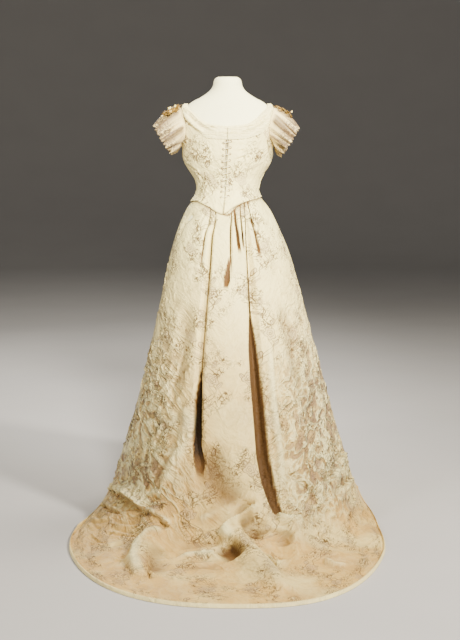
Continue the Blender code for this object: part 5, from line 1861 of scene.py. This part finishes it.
def joined_vector(tree, *fields):
    node = tree.nodes.new("ShaderNodeCombineXYZ")
    for place, field in zip(node.inputs, fields):
        tree.links.new(field.socket, place)
    return node.outputs[0]


def crumpled(tree, place):
    """Crisp creases of crumpled silk, which lean the same way out on both sides."""
    x, y, z = split(tree, place)
    out = x.size()
    vector = joined_vector(tree, (out + z) * CREASE_STRETCH, out - z, y * 0.7 + x * 0.5)
    coarse = (noise_field(tree, vector, *COARSE_CREASES) - 0.5).size()
    fine = (noise_field(tree, vector, *FINE_CREASES) - 0.5).size()
    coarse = (coarse * -COARSE_SHARP + 1.0).limited()
    return coarse + (fine * -FINE_SHARP + 1.0).limited() * FINE_SHARE


def silk_heights(tree, place):
    """How low each point is, how much it is crumpled, and shares of its painted shadow patches and
    flank shade.
    """
    x, y, height = split(tree, place)
    # Painted shade, darker and warmer towards the hem
    low = height.ramp(*HEM_SHADE_HEIGHTS).turned_over()
    at_sides = x.size().ramp(*CRUMPLED_OUT)
    band = height.ramp(*CRUMPLED_FROM) * height.ramp(*CRUMPLED_TO).turned_over()
    behind = y.ramp(*BEHIND).turned_over() * (1 - FRONT_LEAST) + FRONT_LEAST
    creased = (at_sides * band * (1 - CREASED_LEAST) + CREASED_LEAST) * behind
    patches = noise_field(tree, place, *SHADOW_NOISE).ramp(*SHADOW_PATCHES) * at_sides * band
    # Painted shade on the flanks of the bodice
    flank_shade = x.size().ramp(*FLANK_OUT) * height.ramp(*FLANK_HEIGHTS)
    return low, creased, patches, flank_shade


def brocade_look():
    """Ivory satin with a woven garland in silvery tan, made warmer and darker towards the hem by
    painted shade.
    """
    look = look_with("ivory_brocade_look", SATIN_HIGH, 0.4, Sheen_Weight=0.05, Sheen_Roughness=0.4)
    tree = look.node_tree
    shader = tree.nodes["Principled BSDF"]
    vector = cloth_vector(tree)
    x, y, _ = split(tree, vector)
    lines, filled = garland(x, y, tree, vector)
    place = tree.nodes.new("ShaderNodeTexCoord").outputs["Object"]
    low, creased, patches, flank_shade = silk_heights(tree, place)
    crease = crumpled(tree, place)
    lit_patches = noise_field(tree, place, *LIT_PATCH_NOISE).ramp(*LIT_PATCH_RAMP)
    mottle = noise_field(tree, place, *MOTTLE_NOISE).ramp(*MOTTLE_PATCHES)
    # fold holds painted shade, and rim holds painted highlight
    fold, rim = attribute_field(tree, "fold"), attribute_field(tree, "rim")
    layers = (
        # Painted shade, warmer and darker towards the hem
        (low, SATIN_HEM_SHADE),
        # Painted light: pale patches over the painted shade near the hem
        (lit_patches * low * LIT_PATCH_SHARE, SATIN_HIGH),
        (patches * SHADOW_SHARE, SATIN_MOTTLE_AND_SHADE),
        # Painted shade on the bodice's flanks
        (flank_shade * FLANK_SHADE_SHARE, SILVER_TAN),
        (mottle * (low * MOTTLE_LOW + MOTTLE_HIGH), SATIN_MOTTLE_AND_SHADE),
        # Painted shade in the crumples' valleys and painted highlight on their crests
        (crease.ramp(*VALLEYS).turned_over() * creased * VALLEY_SHADE_SHARE, SATIN_MOTTLE_AND_SHADE),
        (crease.ramp(*CRESTS) * creased * CREST_HIGHLIGHT_SHARE, SATIN_HIGHLIGHT),
        (filled * FILL_SHARE, SILVER_TAN),
        (lines * LINE_SHARE, OUTLINE_TAN),
        # Painted shade from the fold attribute, black in the deepest pleat openings
        (fold.ramp(0.0, FOLD_SHARE), SATIN_FOLD_SHADE),
        (fold.ramp(FOLD_SHARE, 1.0), SATIN_DEEP_SHADOW),
        # Painted highlight along the rolled hem and on the crests of the creases
        (rim * RIM_HIGHLIGHT_SHARE, SATIN_HIGHLIGHT),
    )
    colour = SATIN_HIGH
    for share, over in layers:
        colour = mixed(tree, share, colour, over)
    tree.links.new(colour, shader.inputs["Base Color"])
    shader.inputs["Specular IOR Level"].default_value = SILK_SPECULAR
    roughness = filled.highest(lines) * WOVEN_ROUGH + SILK_ROUGH + fold * FOLD_ROUGH
    tree.links.new(roughness.socket, shader.inputs["Roughness"])
    wrinkle = noise_field(tree, place, *WRINKLE_NOISE)
    weave = noise_field(tree, vector, *WEAVE_NOISE)
    relief = wrinkle * (low * WRINKLE_LOW + WRINKLE_HIGH) + crease * creased * CREASE_LIFT
    relief = relief + filled * FILL_LIFT + lines * LINE_LIFT + weave * WEAVE_LIFT
    bumped(tree, shader, relief, SILK_RELIEF)
    return look


LACE_MOTIF_START = 0.045       # metres down the sleeve
LACE_MOTIF_SPAN = 0.035
CLOUD_NOISE = (120.0, 3.0)
CLOUD_SHARE = 0.10
MOTIF_NOISE = (80.0, 2.0, 0.6)
MOTIF_LINE = (0.06, 0.03)      # half width and softness of the motif's lines
THIN_CREPE_NOISE = (160.0, 3.0)
THIN_WEAVE_NOISE = (700.0, 1.0)
THIN_WEAVE_LIFT = 0.2
THIN_RELIEF = 0.0012           # metres


def thin_silk_look(name, colour, fold_shade_colour, strength, motif):
    """Thin silk with painted shade in its folds, a fine weave and an outlined edge motif."""
    look = look_with(name, colour, 0.55, Sheen_Weight=0.2, Sheen_Roughness=0.5)
    tree = look.node_tree
    shader = tree.nodes["Principled BSDF"]
    vector = cloth_vector(tree)
    cloud = noise_field(tree, vector, *CLOUD_NOISE).ramp(0.45, 0.75) * CLOUD_SHARE
    # The fold attribute is painted shade; the clouds are uneven tone
    share = (attribute_field(tree, "fold") * strength + cloud).limited()
    made = mixed(tree, share, colour, fold_shade_colour)
    _, down, _ = split(tree, vector)
    squiggle = (noise_field(tree, vector, *MOTIF_NOISE) - 0.5).size().below(*MOTIF_LINE)
    zone = down.ramp(LACE_MOTIF_START, LACE_MOTIF_START + LACE_MOTIF_SPAN) * motif
    made = mixed(tree, squiggle * zone, made, OUTLINE_TAN)
    tree.links.new(made, shader.inputs["Base Color"])
    weave = noise_field(tree, vector, *THIN_WEAVE_NOISE) * THIN_WEAVE_LIFT
    bumped(tree, shader, noise_field(tree, vector, *THIN_CREPE_NOISE) + weave, THIN_RELIEF)
    return look


GRAIN_FINER = 9.0              # the grain is this many times finer than the clouds
GRAIN_ROUGH = 0.16             # span of the roughness over the grain
CLOUD_LIFT, GRAIN_LIFT = 0.5, 0.3


def grained_look(name, colour, dark, roughness, scale, share, relief, **inputs):
    """A material with a clouded colour and a fine grain at one scale."""
    look = look_with(name, colour, roughness, **inputs)
    tree = look.node_tree
    shader = tree.nodes["Principled BSDF"]
    place = tree.nodes.new("ShaderNodeTexCoord").outputs["Object"]
    cloud = noise_field(tree, place, scale, 3.0)
    made = mixed(tree, cloud.ramp(0.40, 0.70) * share, colour, dark)
    tree.links.new(made, shader.inputs["Base Color"])
    grain = noise_field(tree, place, scale * GRAIN_FINER, 2.0)
    uneven = grain * GRAIN_ROUGH + (roughness - GRAIN_ROUGH / 2)
    tree.links.new(uneven.socket, shader.inputs["Roughness"])
    bumped(tree, shader, cloud * CLOUD_LIFT + grain * GRAIN_LIFT, relief)
    return look


def pale_floor_look():
    return grained_look("pale_floor", colour=(0.50, 0.48, 0.46), dark=(0.47, 0.45, 0.43),
                        roughness=0.75, scale=2.0, share=0.5, relief=0.001)


FLOOR_RADIUS = 9.0
WALL_BEND = 6.0                # radius of the bend from floor to wall
FLOOR_SIDES = 96
BEND_RINGS = 25
ROOM_COLOUR = (1.0, 0.97, 0.92, 1.0)
ROOM_STRENGTH = 0.10


def make_stage():
    """A pale floor that curves up into a wall all round, far behind every view."""
    floor = bmesh.new()
    rings = []
    for bend in np.linspace(0, math.pi / 2, BEND_RINGS):
        radius = FLOOR_RADIUS + WALL_BEND * math.sin(bend)
        centre = Vector((0, 0, WALL_BEND * (1 - math.cos(bend))))
        ways = Vector((1, 0, 0)), Vector((0, 1, 0))
        rings.append(add_ring(floor, centre, *ways, radius, FLOOR_SIDES))
    floor.faces.new(rings[0])
    join_rings(floor, rings)
    built("studio_floor", floor, pale_floor_look())
    world = bpy.data.worlds.new("soft_room")
    bpy.context.scene.world = world
    world.use_nodes = True
    background = world.node_tree.nodes["Background"]
    background.inputs["Color"].default_value = ROOM_COLOUR
    background.inputs["Strength"].default_value = ROOM_STRENGTH


def place_light(name, data, place, aim):
    light = bpy.data.objects.new(name, data)
    bpy.context.scene.collection.objects.link(light)
    light.location = place
    light.rotation_euler = (Vector(aim) - Vector(place)).to_track_quat("-Z", "Y").to_euler()


def make_light(name, place, aim, size, power, colour):
    data = bpy.data.lights.new(name, "AREA")
    data.shape = "DISK"
    data.size = size
    data.energy = power
    data.color = colour
    place_light(name, data, place, aim)


def make_spot(name, place, aim, cone, power, colour):
    data = bpy.data.lights.new(name, "SPOT")
    data.spot_size = cone
    data.spot_blend = 1.0
    data.shadow_soft_size = SPOT_SOFT_SIZE
    data.energy = power
    data.color = colour
    place_light(name, data, place, aim)


def make_camera():
    data = bpy.data.cameras.new("photo_camera")
    data.sensor_width = SENSOR
    data.lens = FOCAL_PIXELS * SENSOR / PHOTO_SIZE[1]
    camera = bpy.data.objects.new("photo_camera", data)
    camera.location = CAMERA_PLACE
    camera.rotation_euler = (math.pi / 2 - CAMERA_TILT, 0, 0)
    bpy.context.scene.collection.objects.link(camera)
    bpy.context.scene.camera = camera


# The looks, lights and pieces, one after the other
DAYLIGHT = (1.0, 0.97, 0.90)
Light = namedtuple("Light", "name place aim size power colour")
LIGHTS = table(
    Light,
    ("key", (2.6, -2.5, 2.9), (0, -0.40, 0.6), 0.5, 335, (1.0, 0.95, 0.86)),
    ("fill", (-2.8, -3.2, 2.3), (0, -0.3, 0.9), 0.9, 120, (1.0, 0.94, 0.85)),
    ("top", (0.8, 0.9, 3.8), (0, -0.4, 0.6), 1.0, 118, (1.0, 0.95, 0.84)),
    ("front", (-1.4, 3.4, 2.4), (0, 0, 0.8), 1.2, 42, DAYLIGHT),
)
# The spot's fourth value is the angle of its cone, in radians
UPPER_SPOT = ("upper", (0.8, -4.1, 3.1), (0, -0.1, 1.27), 0.48, 3300, DAYLIGHT)
SPOT_SOFT_SIZE = 0.4
CHIFFON = (0.93, 0.82, 0.37)
CHIFFON_FOLD_SHADE = (0.34, 0.24, 0.10)
LACE = (0.84, 0.67, 0.29)
LACE_FOLD_SHADE = (0.17, 0.108, 0.036)

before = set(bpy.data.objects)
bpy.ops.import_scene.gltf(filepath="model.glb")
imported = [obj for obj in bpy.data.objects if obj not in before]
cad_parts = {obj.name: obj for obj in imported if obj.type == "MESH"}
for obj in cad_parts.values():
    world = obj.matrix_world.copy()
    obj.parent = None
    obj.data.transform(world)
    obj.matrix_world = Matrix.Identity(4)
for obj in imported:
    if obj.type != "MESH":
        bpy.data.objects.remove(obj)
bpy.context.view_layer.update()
make_camera()
make_stage()
for light in LIGHTS:
    make_light(*light)
make_spot(*UPPER_SPOT)
silk = brocade_look()
chiffon = thin_silk_look("silk_chiffon_look", CHIFFON, CHIFFON_FOLD_SHADE, strength=0.75, motif=0.0)
lace = thin_silk_look("silk_lace_look", LACE, LACE_FOLD_SHADE, strength=0.95, motif=0.85)
cord = grained_look("silk_cord_look", colour=(0.90, 0.80, 0.42), dark=(0.60, 0.48, 0.30),
                    roughness=0.5, scale=400, share=0.6, relief=0.0004)
eyelet = grained_look("eyelet_thread_look", colour=(0.20, 0.115, 0.045), dark=(0.09, 0.05, 0.02),
                      roughness=0.6, scale=500, share=0.8, relief=0.0003)
wax = grained_look("wax_bud_look", colour=(0.86, 0.68, 0.28), dark=(0.52, 0.32, 0.08),
                   roughness=0.35, scale=160, share=0.7, relief=0.0004, Subsurface_Weight=0.15)
leaf = grained_look("gilt_leaf_look", colour=(0.34, 0.20, 0.035), dark=(0.10, 0.055, 0.010),
                    roughness=0.35, scale=110, share=0.9, relief=0.0008)
jersey = grained_look("form_cover_look", colour=(0.98, 0.93, 0.52), dark=(0.97, 0.90, 0.47),
                      roughness=0.7, scale=60, share=0.4, relief=0.0003, Sheen_Weight=0.2)
steel = grained_look("stand_steel_look", colour=(0.13, 0.13, 0.135), dark=(0.08, 0.08, 0.085),
                     roughness=0.35, scale=40, share=0.6, relief=0.0003, Metallic=1.0)
for stand_node in ("stand_base", "stand_pole"):
    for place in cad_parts[stand_node].material_slots:
        place.material = steel
make_form(jersey)
make_bodice(silk)
make_bertha(chiffon)
make_sleeve(1, "right", lace)
make_sleeve(-1, "left", lace)
make_skirt(silk)
make_lacing(cord, eyelet)
make_spray(1, "right", SPRAY_TURN_RIGHT, leaf, wax)
make_spray(-1, "left", SPRAY_TURN_LEFT, leaf, wax)
